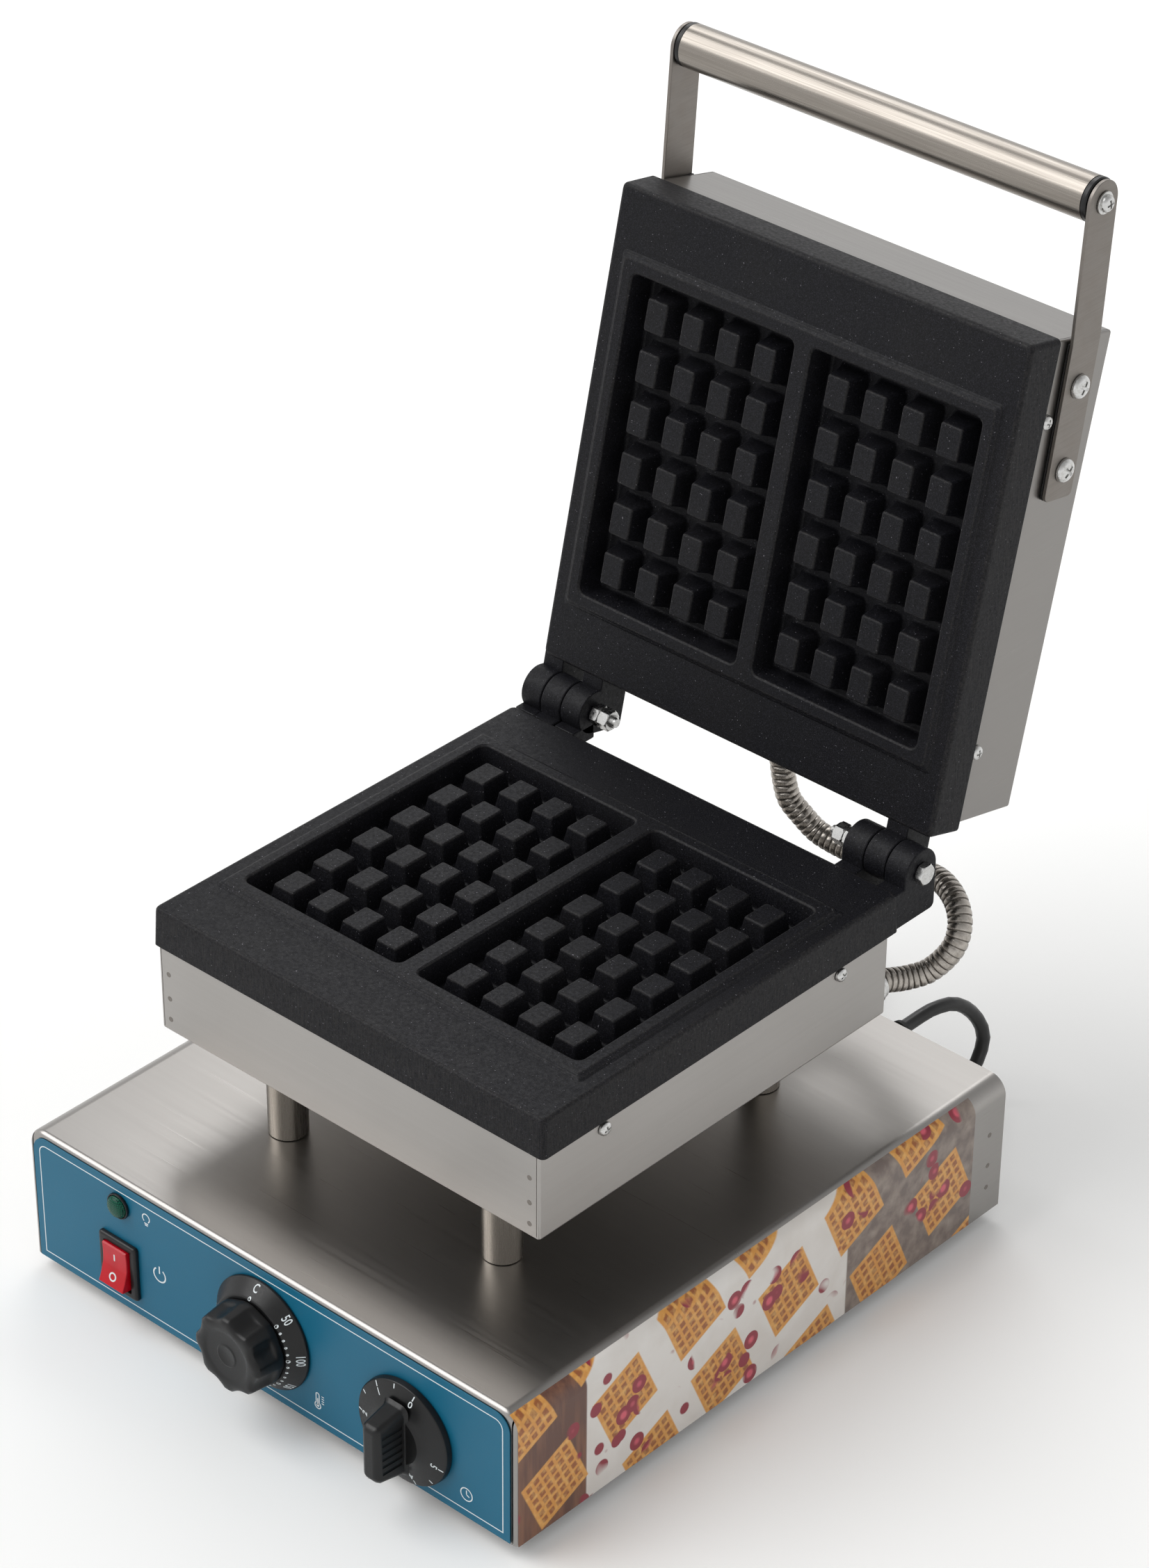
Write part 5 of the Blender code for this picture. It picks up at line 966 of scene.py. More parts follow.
def build_overlay():
    holes = [circle(radius, 28, centre) for centre, radius in PANEL_HOLES]
    holes.append(rounded(SWITCH_HALF_X, SWITCH_HALF_Z, 0.0004, 2, SWITCH))
    film = flat_cut(overlay_outline(0), 0.0005, holes, soft=0.00008)
    place = MACHINE @ Matrix.Translation((0, -HALF_DEPTH - GAP - 0.00025, 0)) @ TO_FRONT
    piece(
        "front_overlay", film.mesh("overlay", place), finish("screen-printed overlay"), "base",
        ["control_panel"],
    )

    # White line work: the border, and one plain pictogram beside each control in place of words. Bars are given as
    # the (x, height) of their two ends about the pictogram's middle.
    marks, w = [band(overlay_outline(0.0040), overlay_outline(0.00455))], 0.0006

    def bars(x, z, ends, width=w):
        return [stroke((x + x1, z + z1), (x + x2, z + z2), width) for x1, z1, x2, z2 in ends]

    x, z = -0.0790, 0.0718
    marks += [bow((x, z), 0.0024, -55, 235, w)]
    marks += bars(x, z, ((-0.0013, -0.0032, 0.0013, -0.0032), (-0.0010, -0.0042, 0.0010, -0.0042)))
    x, z = -0.0715, 0.0415
    marks += [bow((x, z), 0.0040, 125, 415, w + 0.0002, 24), *bars(x, z, [(0, 0.0008, 0, 0.0052)], w + 0.0002)]
    x, z = 0.0345, 0.0235
    marks += [bow((x, z - 0.0024), 0.0019, 115, 425, w)]
    marks += bars(x, z, ((-0.0010, -0.0008, -0.0010, 0.0040), (0.0010, -0.0008, 0.0010, 0.0040)))
    marks += [bow((x, z + 0.0040), 0.0010, 0, 180, w, 10), dot(x, z - 0.0024, 0.0009)]
    marks += bars(x, z, [(0, -0.0024, 0, 0.0018)])
    marks += bars(x, z, [(0.0026, step * 0.0014, 0.0042, step * 0.0014) for step in range(4)], w * 0.8)
    x, z = 0.1305, 0.0225
    marks += [bow((x, z), 0.0036, 0, 360, w, 30), *bars(x, z, ((0, -0.0001, 0, 0.0024), (0, 0, 0.0018, -0.0009)))]
    ink = Shape()
    for mark in marks:
        ink.add(printed(mark, 0.00005, 0.00006))
    place = MACHINE @ Matrix.Translation((0, PANEL_FACE_Y, 0)) @ TO_FRONT
    piece(
        "overlay_line_work", ink.mesh("ink", place), finish("screen-printed white ink"), "base",
        sharp=20,
    )


def build_side_film():
    """A thin printed film over the right side, its upper edge laid over the top bend."""
    front, rear = -0.1755, 0.152
    bend = 0.010
    line, outer = (
        [
            (SIDE_X + skin, BASE_FOOT + 0.0004),
            (SIDE_X + skin, BASE_TOP - bend),
            *arc((SIDE_X - bend, BASE_TOP - bend), bend + skin, 0, math.radians(62), 8)[1:],
        ]
        for skin in (0, 0.0002)
    )
    section = outer + line[::-1]
    film = Shape().loft([[(x, y, z) for x, z in section] for y in (front, rear)])
    piece("side_film", film.mesh("film", MACHINE), finish("printed vinyl film"), "base", sharp=25)


# ---------------------------------------------------------------- controls


def skirt_print(mark, angle, radius, surface):
    """A flat figure stood with its top outwards at an angle on a skirt whose (radius, height) line is surface."""
    turn = Matrix.Rotation(angle - QUARTER, 4, "Z") @ Matrix.Translation((0, radius, 0))

    def onto(point):
        height = point.z
        spot = turn @ Vector((point.x, point.y, 0))
        reach = math.hypot(spot.x, spot.y)
        for (r1, h1), (r2, h2) in zip(surface, surface[1:]):
            if min(r1, r2) <= reach <= max(r1, r2) and abs(r1 - r2) > 0.000001:
                return Vector((spot.x, spot.y, h1 + (h2 - h1) * (reach - r1) / (r2 - r1) + height))
        return Vector((spot.x, spot.y, surface[-1][1] + height))

    return printed(mark, 0.0002, 0.00006, onto)


def skirt_profile(outer, shoulder, depth, roll=0.0008):
    """A skirt's outside from its back edge to its shoulder, with a rolled rim and a soft shoulder."""
    slope = Vector((shoulder - outer, depth - 0.0016)).normalized()
    line = [(outer - 0.0004, 0), (outer, 0.0003), (outer, 0.0012), (outer - 0.0003, 0.0016)]
    line += [(outer - 0.0003 + slope.x * roll, 0.0016 + slope.y * roll)]
    line += [(shoulder + 0.0011, depth - 0.0009), (shoulder + 0.0004, depth - 0.00025), (shoulder - 0.0002, depth)]
    return line


def fluted(radius, share, steps=192):
    """The grip's outline: a circle with eight soft scoops of a share of their full depth."""
    outline = []
    for step in range(steps):
        angle = math.tau * step / steps
        nearest = (angle / (math.pi / 4) - 0.5) - round(angle / (math.pi / 4) - 0.5)
        across = nearest * math.pi / 4 * radius
        scoop = max(0.0, 0.0022 * (1 - (across / 0.0062) ** 2))
        scoop = scoop * scoop / (scoop + 0.00022)
        outline.append(((radius - scoop * share) * math.cos(angle), (radius - scoop * share) * math.sin(angle)))
    return outline


def build_thermostat():
    black, ink_finish = finish("moulded black nylon"), finish("screen-printed white ink")
    outer, shoulder, depth = 0.0305, 0.0235, 0.0085
    line = skirt_profile(outer, shoulder, depth)
    profile = [
        (outer - 0.0018, 0.0), *line, (0.0046, depth), (0.0046, 0.006), (0.0046, 0.0022), (outer - 0.004, 0.0022)
    ]
    skirt = turned(profile, 96, closed=True)
    ink = Shape()
    degree, height = math.radians, bpy.context.scene.waffle_maker.figure_height
    figures_at, dots_at = 0.0280, 0.0241
    ink.add(skirt_print(lettering("C", height), degree(90), figures_at, line))
    # A figure and a large dot every 45 degrees, with four small dots between one figure and the next.
    for number in range(1, 7):
        at = 90 - 45 * number
        ink.add(skirt_print(lettering(str(number * 50), height), degree(at), figures_at, line))
        ink.add(skirt_print(dot(0, 0, 0.0009), degree(at), dots_at, line))
        for small in range(1, 5) if number < 6 else ():
            ink.add(skirt_print(dot(0, 0, 0.0006), degree(at - 9 * small), dots_at, line))
    ink.add(skirt_print(dot(0, 0, 0.0009), degree(91), dots_at, line))
    place = on_panel(THERMOSTAT)
    piece(
        "thermostat_skirt", skirt.mesh("skirt", place), black, "thermostat_control",
        ["thermostat_dial"], 40,
    )
    piece("thermostat_figures", ink.mesh("ink", place), ink_finish, "thermostat_control", sharp=20)

    # The grip: fluted rings up to its rolled edge, then round ones over its dished face.
    radius, top, rings = 0.0225, 0.0165, []
    for height, grow, share in (
        (0, -0.0003, 0.30), (0.0003, 0, 0.30), (0.0030, 0, 0.34), (0.0042, -0.0001, 0.75), (0.0055, -0.0003, 1),
        (0.0100, -0.0008, 1), (0.0138, -0.0012, 1), (0.0152, -0.0016, 1), (0.0160, -0.0024, 1), (0.0164, -0.0036, 0.9),
        (0.0165, -0.0052, 0.7),
    ):
        rings.append(lift(fluted(radius + grow, share), height))
    for reach, down in (
        (0.0150, 0.0001), (0.0138, 0.0005), (0.0125, 0.0008), (0.0066, 0.0010), (0.0062, 0.0008), (0.0058, 0.0006),
        (0.0052, 0.0006), (0.0048, 0.0008),
    ):
        rings.append(lift(circle(reach, 192), top - down))
    rings.append([(0, 0, top - 0.0008)])
    grip = Shape().loft(rings).mesh("grip", on_panel(THERMOSTAT, depth + GAP))
    piece("thermostat_grip", grip, black, "thermostat_control", ["thermostat_knob"], 45)


def build_timer():
    black = finish("moulded black nylon")
    outer, depth = 0.0285, 0.0075
    # A thin upright rim, then a face that rises gently and sweeps up into the neck of the grip.
    line = [
        (outer - 0.0004, 0), (outer, 0.0003), (outer - 0.0002, 0.0030), (outer - 0.0006, 0.0035),
        (outer - 0.0012, 0.0037), (0.0242, 0.0046), (0.0205, 0.0054), (0.0180, 0.0060), (0.0160, 0.0067),
        (0.0148, depth), (0.0140, depth + 0.0008),
    ]
    knob = turned([(0, 0), *line, (0, depth + 0.0008)], 96)
    # The bar grip: tapered, bevelled all round, with a ribbed hold on both flanks.
    half_x, half_z, grip_depth, taper = 0.0065, 0.0195, 0.018, 0.18
    rings = []
    for share, inset, corner in (
        (0, -0.0012, 0.0040), (0.06, -0.0004, 0.0036), (0.12, 0, 0.0034), (0.86, 0, 0.0030), (0.94, 0.0007, 0.0026),
        (0.985, 0.0018, 0.0018), (1, 0.0030, 0.0010),
    ):
        narrow = 1 - taper * share
        height = depth - 0.0004 + grip_depth * share + (0.0004 if share == 1 else 0)
        rings.append(lift(rounded(half_x * narrow - inset, half_z * narrow - inset, corner), height))
    bar = Shape().loft(rings)
    cutters = []
    for side in (-1, 1):
        for groove in range(6):
            z, long = (groove - 2.5) * 0.0042, 0.0120
            start = depth + grip_depth - 0.0035 - long
            low, high = (half_x * (1 - taper * (end - depth) / grip_depth) for end in (start, start + long))
            path = [
                (side * low, z, start), (side * (low + high) / 2, z, start + long / 2), (side * high, z, start + long)
            ]
            cutters.append(tube(path, 0.0009, 12).mesh("groove"))
    knob.add(shape_of(boolean(bar.mesh("bar"), cutters)))
    place = on_panel(TIMER)
    piece("timer_dial_and_grip", knob.mesh("timer", place), black, "timer_control", ["timer_knob"], 40)

    ink = Shape()
    for half in range(11):
        at, tall = math.radians(72 + 27 * half), 0.0022 if half % 2 else 0.0027
        ink.add(skirt_print(stroke((0, -tall / 2), (0, tall / 2), 0.0006), at, 0.0262, line))
        if not half % 2:
            ink.add(skirt_print(lettering(str(half // 2), 0.0036), at, 0.0223, line))
    piece(
        "timer_figures", ink.mesh("ink", place), finish("screen-printed white ink"), "timer_control",
        sharp=20,
    )


def build_lamp():
    place = on_panel(LAMP)
    profile = [
        (0.0055, -0.022), (0.0055, 0), (0.0068, 0), (0.007, 0.0003), (0.007, 0.0010), (0.0068, 0.0014),
        (0.0064, 0.0015), (0.0062, 0.0013), (0.0061, 0.0006), (0, 0.0006),
    ]
    bezel = turned(profile, 48).mesh("bezel", place)
    piece("lamp_bezel", bezel, finish("moulded black nylon"), "base", ["pilot_lamp_bezel"])
    radius, seat, dome = 0.0059, 0.0009, []
    for step in range(10):
        turn = QUARTER * step / 10
        dome.append(((radius - 0.0004) * math.cos(turn) ** 0.6, seat + 0.0013 + 0.0019 * math.sin(turn)))
    lens = turned([(0, seat), (radius, seat), (radius, seat + 0.0009), *dome, (0, seat + 0.0032)], 48)
    piece(
        "lamp_lens", lens.mesh("lens", place), finish("moulded green acrylic"), "base",
        ["pilot_lamp_lens"], 40,
    )


def build_switch():
    x, z = SWITCH

    def ring(out, half_x, half_z, corner):
        return [(x + a, SEAT_Y - out, z + b) for a, b in rounded(half_x, half_z, corner)]

    # The case behind the panel closes the frame from outside, and the well goes into it.
    rings = [ring(out, 0.01055, 0.0137, 0.0004) for out in (-0.024, 0)]
    for out, inset in ((0, 0.0), (0.0012, 0), (0.0018, 0.0002), (0.0022, 0.0006), (0.00245, 0.0011), (0.0025, 0.0018)):
        rings.append(ring(out, 0.01275 - inset, 0.0159 - inset, 0.0016 - inset * 0.3))
    for out, grow in ((0.0025, 0.0003), (0.0022, 0), (-0.009, 0)):
        rings.append(ring(out, 0.0089 + grow, 0.01235 + grow, 0.0006))
    bezel = Shape().loft(rings).mesh("bezel", MACHINE)
    piece("switch_bezel", bezel, finish("moulded black nylon"), "base", ["switch_frame"], 40)

    half, front, slope, roll, dish = 0.01145, 0.0058, math.tan(math.radians(9)), 0.0007, 0.00025
    # Two slightly dished faces meet in a soft valley, and every visible edge is rolled.
    outline = [(-(front + half * slope) + roll, half), (-(front + half * slope), half - roll)]
    for step in range(1, 8):
        left = 1 - step / 8
        outline.append((-(front + half * slope * left) + dish * math.sin(math.pi * step / 8), (half - roll) * left))
    outline.append((-front, 0))
    outline += [(a, -b) for a, b in outline[:-1][::-1]]
    outline += [
        (0, -half * 0.96), *arc((0, 0), half * 0.5, -math.radians(72.5), math.radians(72.5), 14), (0, half * 0.96)
    ]
    place = MACHINE @ Matrix.Translation((x, SEAT_Y + 0.0015, z)) @ Matrix.Rotation(math.radians(-9), 4, "X")
    rocker = flat_cut(outline, 0.0166, soft=0.0005).mesh("rocker", place @ UPRIGHT)
    piece("rocker", rocker, finish("moulded red polycarbonate"), "rocker", ["switch_rocker"], 40)

    ink = Shape()
    on, off = stroke((0, -0.0019), (0, 0.0019), 0.0008), bow((0, 0), 0.0020, 0, 360, 0.0008, 24)
    for centre, mark in ((half * 0.45, on), (-half * 0.5, off)):
        left = abs(centre) / (half - roll)
        sunk = dish * math.sin(math.pi * (1 - left))
        lean = math.copysign(math.atan(slope), centre)
        spot = Matrix.Translation((0, -(front + half * slope * left) + sunk, centre))
        ink.add(printed(mark, 0.0002, 0.00016), spot @ Matrix.Rotation(lean, 4, "X") @ TO_FRONT)
    piece("rocker_marks", ink.mesh("ink", place), finish("screen-printed white ink"), "rocker", sharp=20)


# ---------------------------------------------------------------- housings and castings


def housing(name, node, near_rise, height, near, far, way, place, body, fitting):
    """An open folded box behind a casting, with seams at its corners and a hole for the conduit fitting."""
    # The lid housing takes the steel painted darker as shade, and the lower housing the steel painted lighter as light.
    steel = finish("brushed stainless, lid housing, painted shade" if body == "lid" else "brushed stainless, lower housing, painted light")
    far_rise, centre, half_y, fold = near_rise + way * height, (0, -(near + far) / 2), (far - near) / 2, 0.0014
    rings = [lift(rounded(HOUSING_HALF, half_y, 0.0013, 4, centre), near_rise)]
    for step in range(6):
        turn = QUARTER * step / 5
        inset = fold * (1 - math.cos(turn))
        outline = rounded(HOUSING_HALF - inset, half_y - inset, 0.0013, 4, centre)
        rings.append(lift(outline, far_rise - way * fold * (1 - math.sin(turn))))
    mesh = Shape().loft(rings).mesh(name)
    inner = [
        lift(rounded(HOUSING_HALF - SHEET, half_y - SHEET, 0.0005, 2, centre), rise)
        for rise in (near_rise - way * 0.003, far_rise - way * SHEET)
    ]
    cutters = [Shape().loft(inner).mesh("inside")]
    hole = turned([(0, -0.004), (0.0075, -0.004), (0.0075, 0.004), (0, 0.004)], 32)
    cutters.append(hole.mesh("hole", Matrix.Translation((fitting.x, -near, fitting.z)) @ TO_FRONT))
    for side in (-1, 1):
        x = side * (HOUSING_HALF - 0.0017)
        low, high = sorted((near_rise - way * 0.001, far_rise - way * 0.0018))
        seam = brick((x - 0.00018, -far - 0.001, low), (x + 0.00018, -far + 0.0004, high), 0.0001, 0.00005)
        cutters.append(seam.mesh("seam"))
    piece(name, boolean(mesh, cutters, place), steel, body, [node], 50)


def build_housings():
    fitting = Vector((LOWER_FITTING_X, 0, LOWER_FITTING_Z - HINGE.z))
    lower = LOWER_RISE, 0.0466, LOWER_NEAR, LOWER_FAR, -1, LOWER, "base", fitting
    housing("lower_housing_shell", "lower_housing", *lower)
    fitting = Vector((UPPER_FITTING_X, 0, UPPER_FITTING_RISE))
    upper = UPPER_RISE, 0.0440, UPPER_NEAR, UPPER_FAR, 1, LID, "lid", fitting
    housing("lid_housing_shell", "upper_housing", *upper)
    # Resistance welds beside the front corners: faint pressed rings with a darker heat tint.
    welds = Shape()
    for side in (-1, 1):
        for z in (0.166, 0.152, 0.140):
            ring = turned(WELD_RING, 20)
            welds.add(ring, Matrix.Translation((side * 0.117, -LOWER_FAR, z - HINGE.z)) @ TO_FRONT)
    piece("housing_spot_welds", welds.mesh("welds", LOWER), finish("mill-finish flat bar"), "base")


def lug(land_rise, way, low_x, high_x):
    """One hinge knuckle, from its round end on the hinge's axis to its root in the casting."""
    margin = land_rise + LAND_HEIGHT
    back, root, edge = margin + PLATE_THICK - 0.0006, -PLATE_NEAR - 0.004, 0.0118
    points = [(root, back), (edge - 0.003, back), *arc((edge - 0.003, back - 0.003), 0.003, QUARTER, 0, 5)[1:]]
    points += arc((0, 0), edge, 0, -math.pi, 30)
    points += [(-edge, margin + 0.0006), (root, margin + 0.0006)]
    points = [(along, way * height) for along, height in points]
    shape = flat_cut(points, high_x - low_x, [circle(0.0033, 24)], soft=0.0008, bevel_steps=3)
    return Shape().add(shape, Matrix.Translation(((low_x + high_x) / 2, 0, 0)) @ UPRIGHT)


def casting(name, node, land_rise, far, way, lugs, heels, place, body):
    """A cast plate: body and raised land in one skin, two drafted cavities of pegs, hinge lugs, heels and bosses."""
    # The second finish paints a highlight on the edges, partly as wear; the third is the ground side.
    finishes = [finish("sand-cast iron"), finish("sand-cast iron, worn edge with painted highlight"), finish("sand-cast iron, ground side")]
    margin = land_rise + LAND_HEIGHT
    back, floor = margin + PLATE_THICK, land_rise + CAVITY_DEPTH
    half_y, centre = (far - PLATE_NEAR) / 2, (0, -(far + PLATE_NEAR) / 2)
    land_x, land_y = 0.1143, 0.08935
    rings, marks = [], []
    # Bands marked 1 here, the cavity mouths and the peg tops below get the iron with a painted edge highlight, partly
    # wear; band 2 is the ground side.
    for rise, grow, mark in (
        (back, 0.0002, 0), (back - 0.0006, 0.0008, 2), (margin + 0.0026, 0.00008, 1), (margin + 0.0013, -0.0001, 1),
        (margin + 0.0005, -0.0006, 1), (margin + 0.0001, -0.0013, 1), (margin, -0.0021, 0),
    ):
        rings.append(lift(rounded(PLATE_HALF + grow, half_y + grow, 0.0028, 5, centre), way * rise))
        marks.append(mark)
    for depth, grow, mark in (
        (0, 0.0034, 0), (0.0002, 0.0029, 0), (0.0010, 0.0022, 1), (0.0013, 0.0019, 0), (0.00145, 0.0013, 0),
        (0.0017, 0.0009, 0), (0.0022, 0.0004, 1), (0.00243, 0.0000, 1), (0.0025, -0.0006, 0),
    ):
        rings.append(lift(rounded(land_x + grow, land_y + grow, 0.0022, 5, (0, CAVITY_Y)), way * (margin - depth)))
        marks.append(mark)
    mesh = Shape().loft(rings, marks[:-1]).mesh(name)
    cutters = []
    for side in (-1, 1):
        cavity = []
        for rise, grow, mark in (
            (land_rise - 0.001, 0.0014, 1), (land_rise + 0.0001, 0.0011, 1), (land_rise + 0.0004, 0.0004, 1), (
                land_rise + 0.0010, -0.0001, 0
            ),
            (
                floor - 0.0018, -0.0019, 0
            ), (floor - 0.0008, -0.0023, 0), (floor - 0.0002, -0.0030, 0), (floor, -0.0038, 0),
        ):
            outline = rounded(0.0514 + grow, 0.08315 + grow, 0.004 + grow, 6, (side * CAVITY_X, CAVITY_Y))
            cavity.append(lift(outline, way * rise))
        cutters.append(Shape().loft(cavity, [1, 1, 1, 0, 0, 0, 0]).mesh("cavity"))
    for target in (mesh, *cutters):
        for material in finishes:
            target.materials.append(material)
    shape = shape_of(boolean(mesh, cutters))

    top = land_rise + 0.00175
    peg_rings = []
    for rise, grow in (
        (floor + 0.0006, 0.0036), (
            floor - 0.00005, 0.0034
        ), (floor - 0.0004, 0.0028), (floor - 0.0013, 0.0022), (top + 0.0012, 0.0001),
        (top + 0.0006, -0.00005), (top + 0.0002, -0.0004), (top, -0.0010),
    ):
        peg_rings.append(lift(rounded(0.00635 + grow, 0.0082 + grow, 0.0012 + max(grow, 0) * 0.4, 4), way * rise))
    peg = Shape().loft(peg_rings, [0, 0, 0, 0, 1, 1, 1])
    for side in (-1, 1):
        for column in range(4):
            for row in range(6):
                spot = (side * CAVITY_X + (column - 1.5) * 0.02276, CAVITY_Y + (row - 2.5) * 0.02628, 0)
                shape.add(peg, Matrix.Translation(spot))
    for low_x, high_x in lugs:
        shape.add(lug(land_rise, way, low_x, high_x), mark=0)
    for low_x, high_x in heels:
        nose = brick((low_x, -PLATE_NEAR + 0.0004 + GAP, -0.0145), (high_x, 0, -0.0055), 0.001, 0.0008)
        shape.add(nose, Matrix.Rotation(OPEN_ANGLE, 4, "X"), mark=0)
    for side in (-1, 1):
        for reach in SCREW_REACHES:
            outer = side * (HOUSING_HALF - SHEET - GAP)
            low_x, high_x = sorted((outer, outer - side * 0.010))
            low, high = sorted((way * (back - 0.001), way * (back + 0.012)))
            shape.add(brick((low_x, -reach - 0.007, low), (high_x, -reach + 0.007, high), 0.001, 0.0008), mark=0)
    piece(name, shape.mesh(name, place), finishes, body, [node], 32)


def knuckles():
    """The x ranges of the knuckles on each side, from the outer one inwards."""
    spans = {}
    for side in (-1, 1):
        outers = [HINGE_HALF_SPAN - number * KNUCKLE_PITCH for number in range(3)]
        spans[side] = [tuple(sorted((side * outer, side * (outer - KNUCKLE)))) for outer in outers]
    return spans


def build_castings():
    spans = knuckles()
    lower = [spans[-1][1], spans[1][0], spans[1][2]]
    casting("lower_casting", "lower_plate", LOWER_LAND, LOWER_FAR, -1, lower, [], LOWER, "base")
    upper = [spans[-1][0], spans[-1][2], spans[1][1]]
    casting("lid_casting", "upper_plate", UPPER_LAND, 0.2634, 1, upper, upper[:2], LID, "lid")


# ---------------------------------------------------------------- fasteners


def hexagon(apothem, height_low, height_high, hole=0.0):
    """A hexagon with both ends chamfered, plain or with a hole."""
    def ring(height, limit):
        points = []
        for step in range(48):
            angle = math.tau * step / 48
            off = (angle + math.pi / 6) % (math.pi / 3) - math.pi / 6
            radius = min(apothem / math.cos(off), limit)
            points.append((radius * math.cos(angle), radius * math.sin(angle), height))
        return points

    far = apothem * 1.2
    rings = [
        ring(height_low, apothem * 0.97), ring(height_low + 0.0002, apothem * 1.03), ring(height_low + 0.0006, far)
    ]
    rings += [
        ring(height_high - 0.0006, far), ring(height_high - 0.0002, apothem * 1.03), ring(height_high, apothem * 0.97)
    ]
    if not hole:
        return Shape().loft(rings)
    for height in (height_high, height_high - 0.0004, height_low + 0.0004, height_low):
        radius = hole + (0.0004 if height in (height_low, height_high) else 0)
        rings.append(lift(circle(radius, 48), height))
    return Shape().loft(rings, wrap=True)


def build_hinge():
    steel = finish("zinc-plated steel")
    for side, word in SIDES:
        place = LOWER @ Matrix.Translation((side * (HINGE_HALF_SPAN + GAP), 0, 0)) @ sideways(side)
        bolt = hexagon(0.005, 0, 0.004)
        end = -(BOLT_REACH + 0.0012 + 0.011 + 0.003)
        profile, height = [(0, 0.001), (0.003, 0.001), (0.003, -BOLT_REACH)], -0.0400
        while height > end + 0.0008:
            profile += [(0.003, height), (0.00265, height - 0.00025)]
            height -= 0.0005
        profile += [(0.0024, end), (0, end)]
        bolt.add(turned(profile, 24))
        piece(f"bolt_{word}", bolt.mesh("bolt", place), steel, "base", [f"hinge_bolt_{word}"], 28)
        start = -BOLT_REACH - 0.0006 - 0.0003
        for kind, low, high in (("nut", start - 0.005, start), ("locknut", start - 0.0053 - 0.006, start - 0.0053)):
            nut = hexagon(0.005, low, high, 0.0033)
            if kind == "locknut":
                # The nylon insert shows as a rolled collar on the locknut's end.
                collar = (0.0045, 0.0014), (0.0045, 0.0004), (0.0040, 0.0001), (0.0033, 0.0001), (0.0033, 0.0014)
                nut.add(turned([(radius, low + rise) for radius, rise in collar], 32, closed=True))
            piece(
                f"{kind}_{word}", nut.mesh("nut", place), steel, "base", [f"hinge_{kind}_{word}"],
                28,
            )


def cross_recess(radius, top, depth):
    """Cutters of a Phillips recess: two tapered arms."""
    cutters = []
    for turn in (0, QUARTER):
        rings = []
        for height, arm, width in (
            (top + 0.0005, 0.62, 0.13), (top - depth * 0.5, 0.48, 0.12), (top - depth, 0.20, 0.09)
        ):
            outline = [
                (x * radius, y * radius) for x, y in ((arm, -width), (arm, width), (-arm, width), (-arm, -width))
            ]
            rings.append(lift(outline, height))
        cutters.append(Shape().loft(rings).mesh("arm", Matrix.Rotation(turn, 4, "Z")))
    return cutters


def pan_screw(head_radius, head_height, shank_radius, length, washer=0.0):
    """A pan-head screw with a cross recess: its head above the washer's thickness, and its shank below zero."""
    dome = ((1, 0), (0.995, 0.22), (0.95, 0.48), (0.85, 0.70), (0.70, 0.86), (0.50, 0.95), (0.25, 0.99), (0, 1))
    profile = [(0, -length), (shank_radius, -length), (shank_radius, washer)]
    profile += [(head_radius * across, washer + (head_height - washer) * up) for across, up in dome]
    mesh = boolean(turned(profile, 32).mesh("screw"), cross_recess(head_radius, head_height, head_height * 0.55))
    return shape_of(mesh)


def build_screws():
    steel = finish("zinc-plated steel")
    screw = pan_screw(0.0037, 0.0024, 0.0019, 0.009)
    random.seed(7)
    for prefix, place, body, rise in (
        ("lower", LOWER, "base", LOWER_RISE - 0.0055),
        ("upper", LID, "lid", UPPER_RISE + 0.0044),
    ):
        for side, across in SIDES:
            for reach, along in zip(SCREW_REACHES, ("rear", "front")):
                spot = Matrix.Translation((side * (HOUSING_HALF + GAP), -reach, rise))
                spun = Matrix.Rotation(random.uniform(0, math.pi), 4, "Z")
                mesh = screw.mesh("screw", place @ spot @ sideways(side) @ spun)
                node = f"{prefix}_housing_screw_{along}_{across}"
                piece(f"{prefix}_panhead_{along}_{across}", mesh, steel, body, [node], 35)


# ---------------------------------------------------------------- handle


def strap_line():
    return [Vector((-0.3285, 0.0323)), Vector((-0.2610, 0.0427)), Vector((-0.1828, 0.0465))]


def strap_outline():
    half, corner_round = 0.0105, 0.003
    top, bend, end = strap_line()
    upper, lower = (bend - top).normalized(), (end - bend).normalized()
    upper_side, lower_side = Vector((-upper.y, upper.x)), Vector((-lower.y, lower.x))
    mitre = (upper_side + lower_side) / (1 + upper_side.dot(lower_side))
    start = math.atan2(upper_side.y, upper_side.x)
    points = arc(top, half, start, start + math.pi, 24)
    points.append(tuple(bend - mitre * half))
    for corner, first, second in (
        (end - lower_side * half, -lower, lower_side), (end + lower_side * half, -lower_side, -lower)
    ):
        for step in range(6):
            angle = QUARTER * step / 5
            centre = corner + (first + second) * corner_round
            points.append(tuple(centre + (-second * math.cos(angle) - first * math.sin(angle)) * corner_round))
    points.append(tuple(bend + mitre * half))
    return points


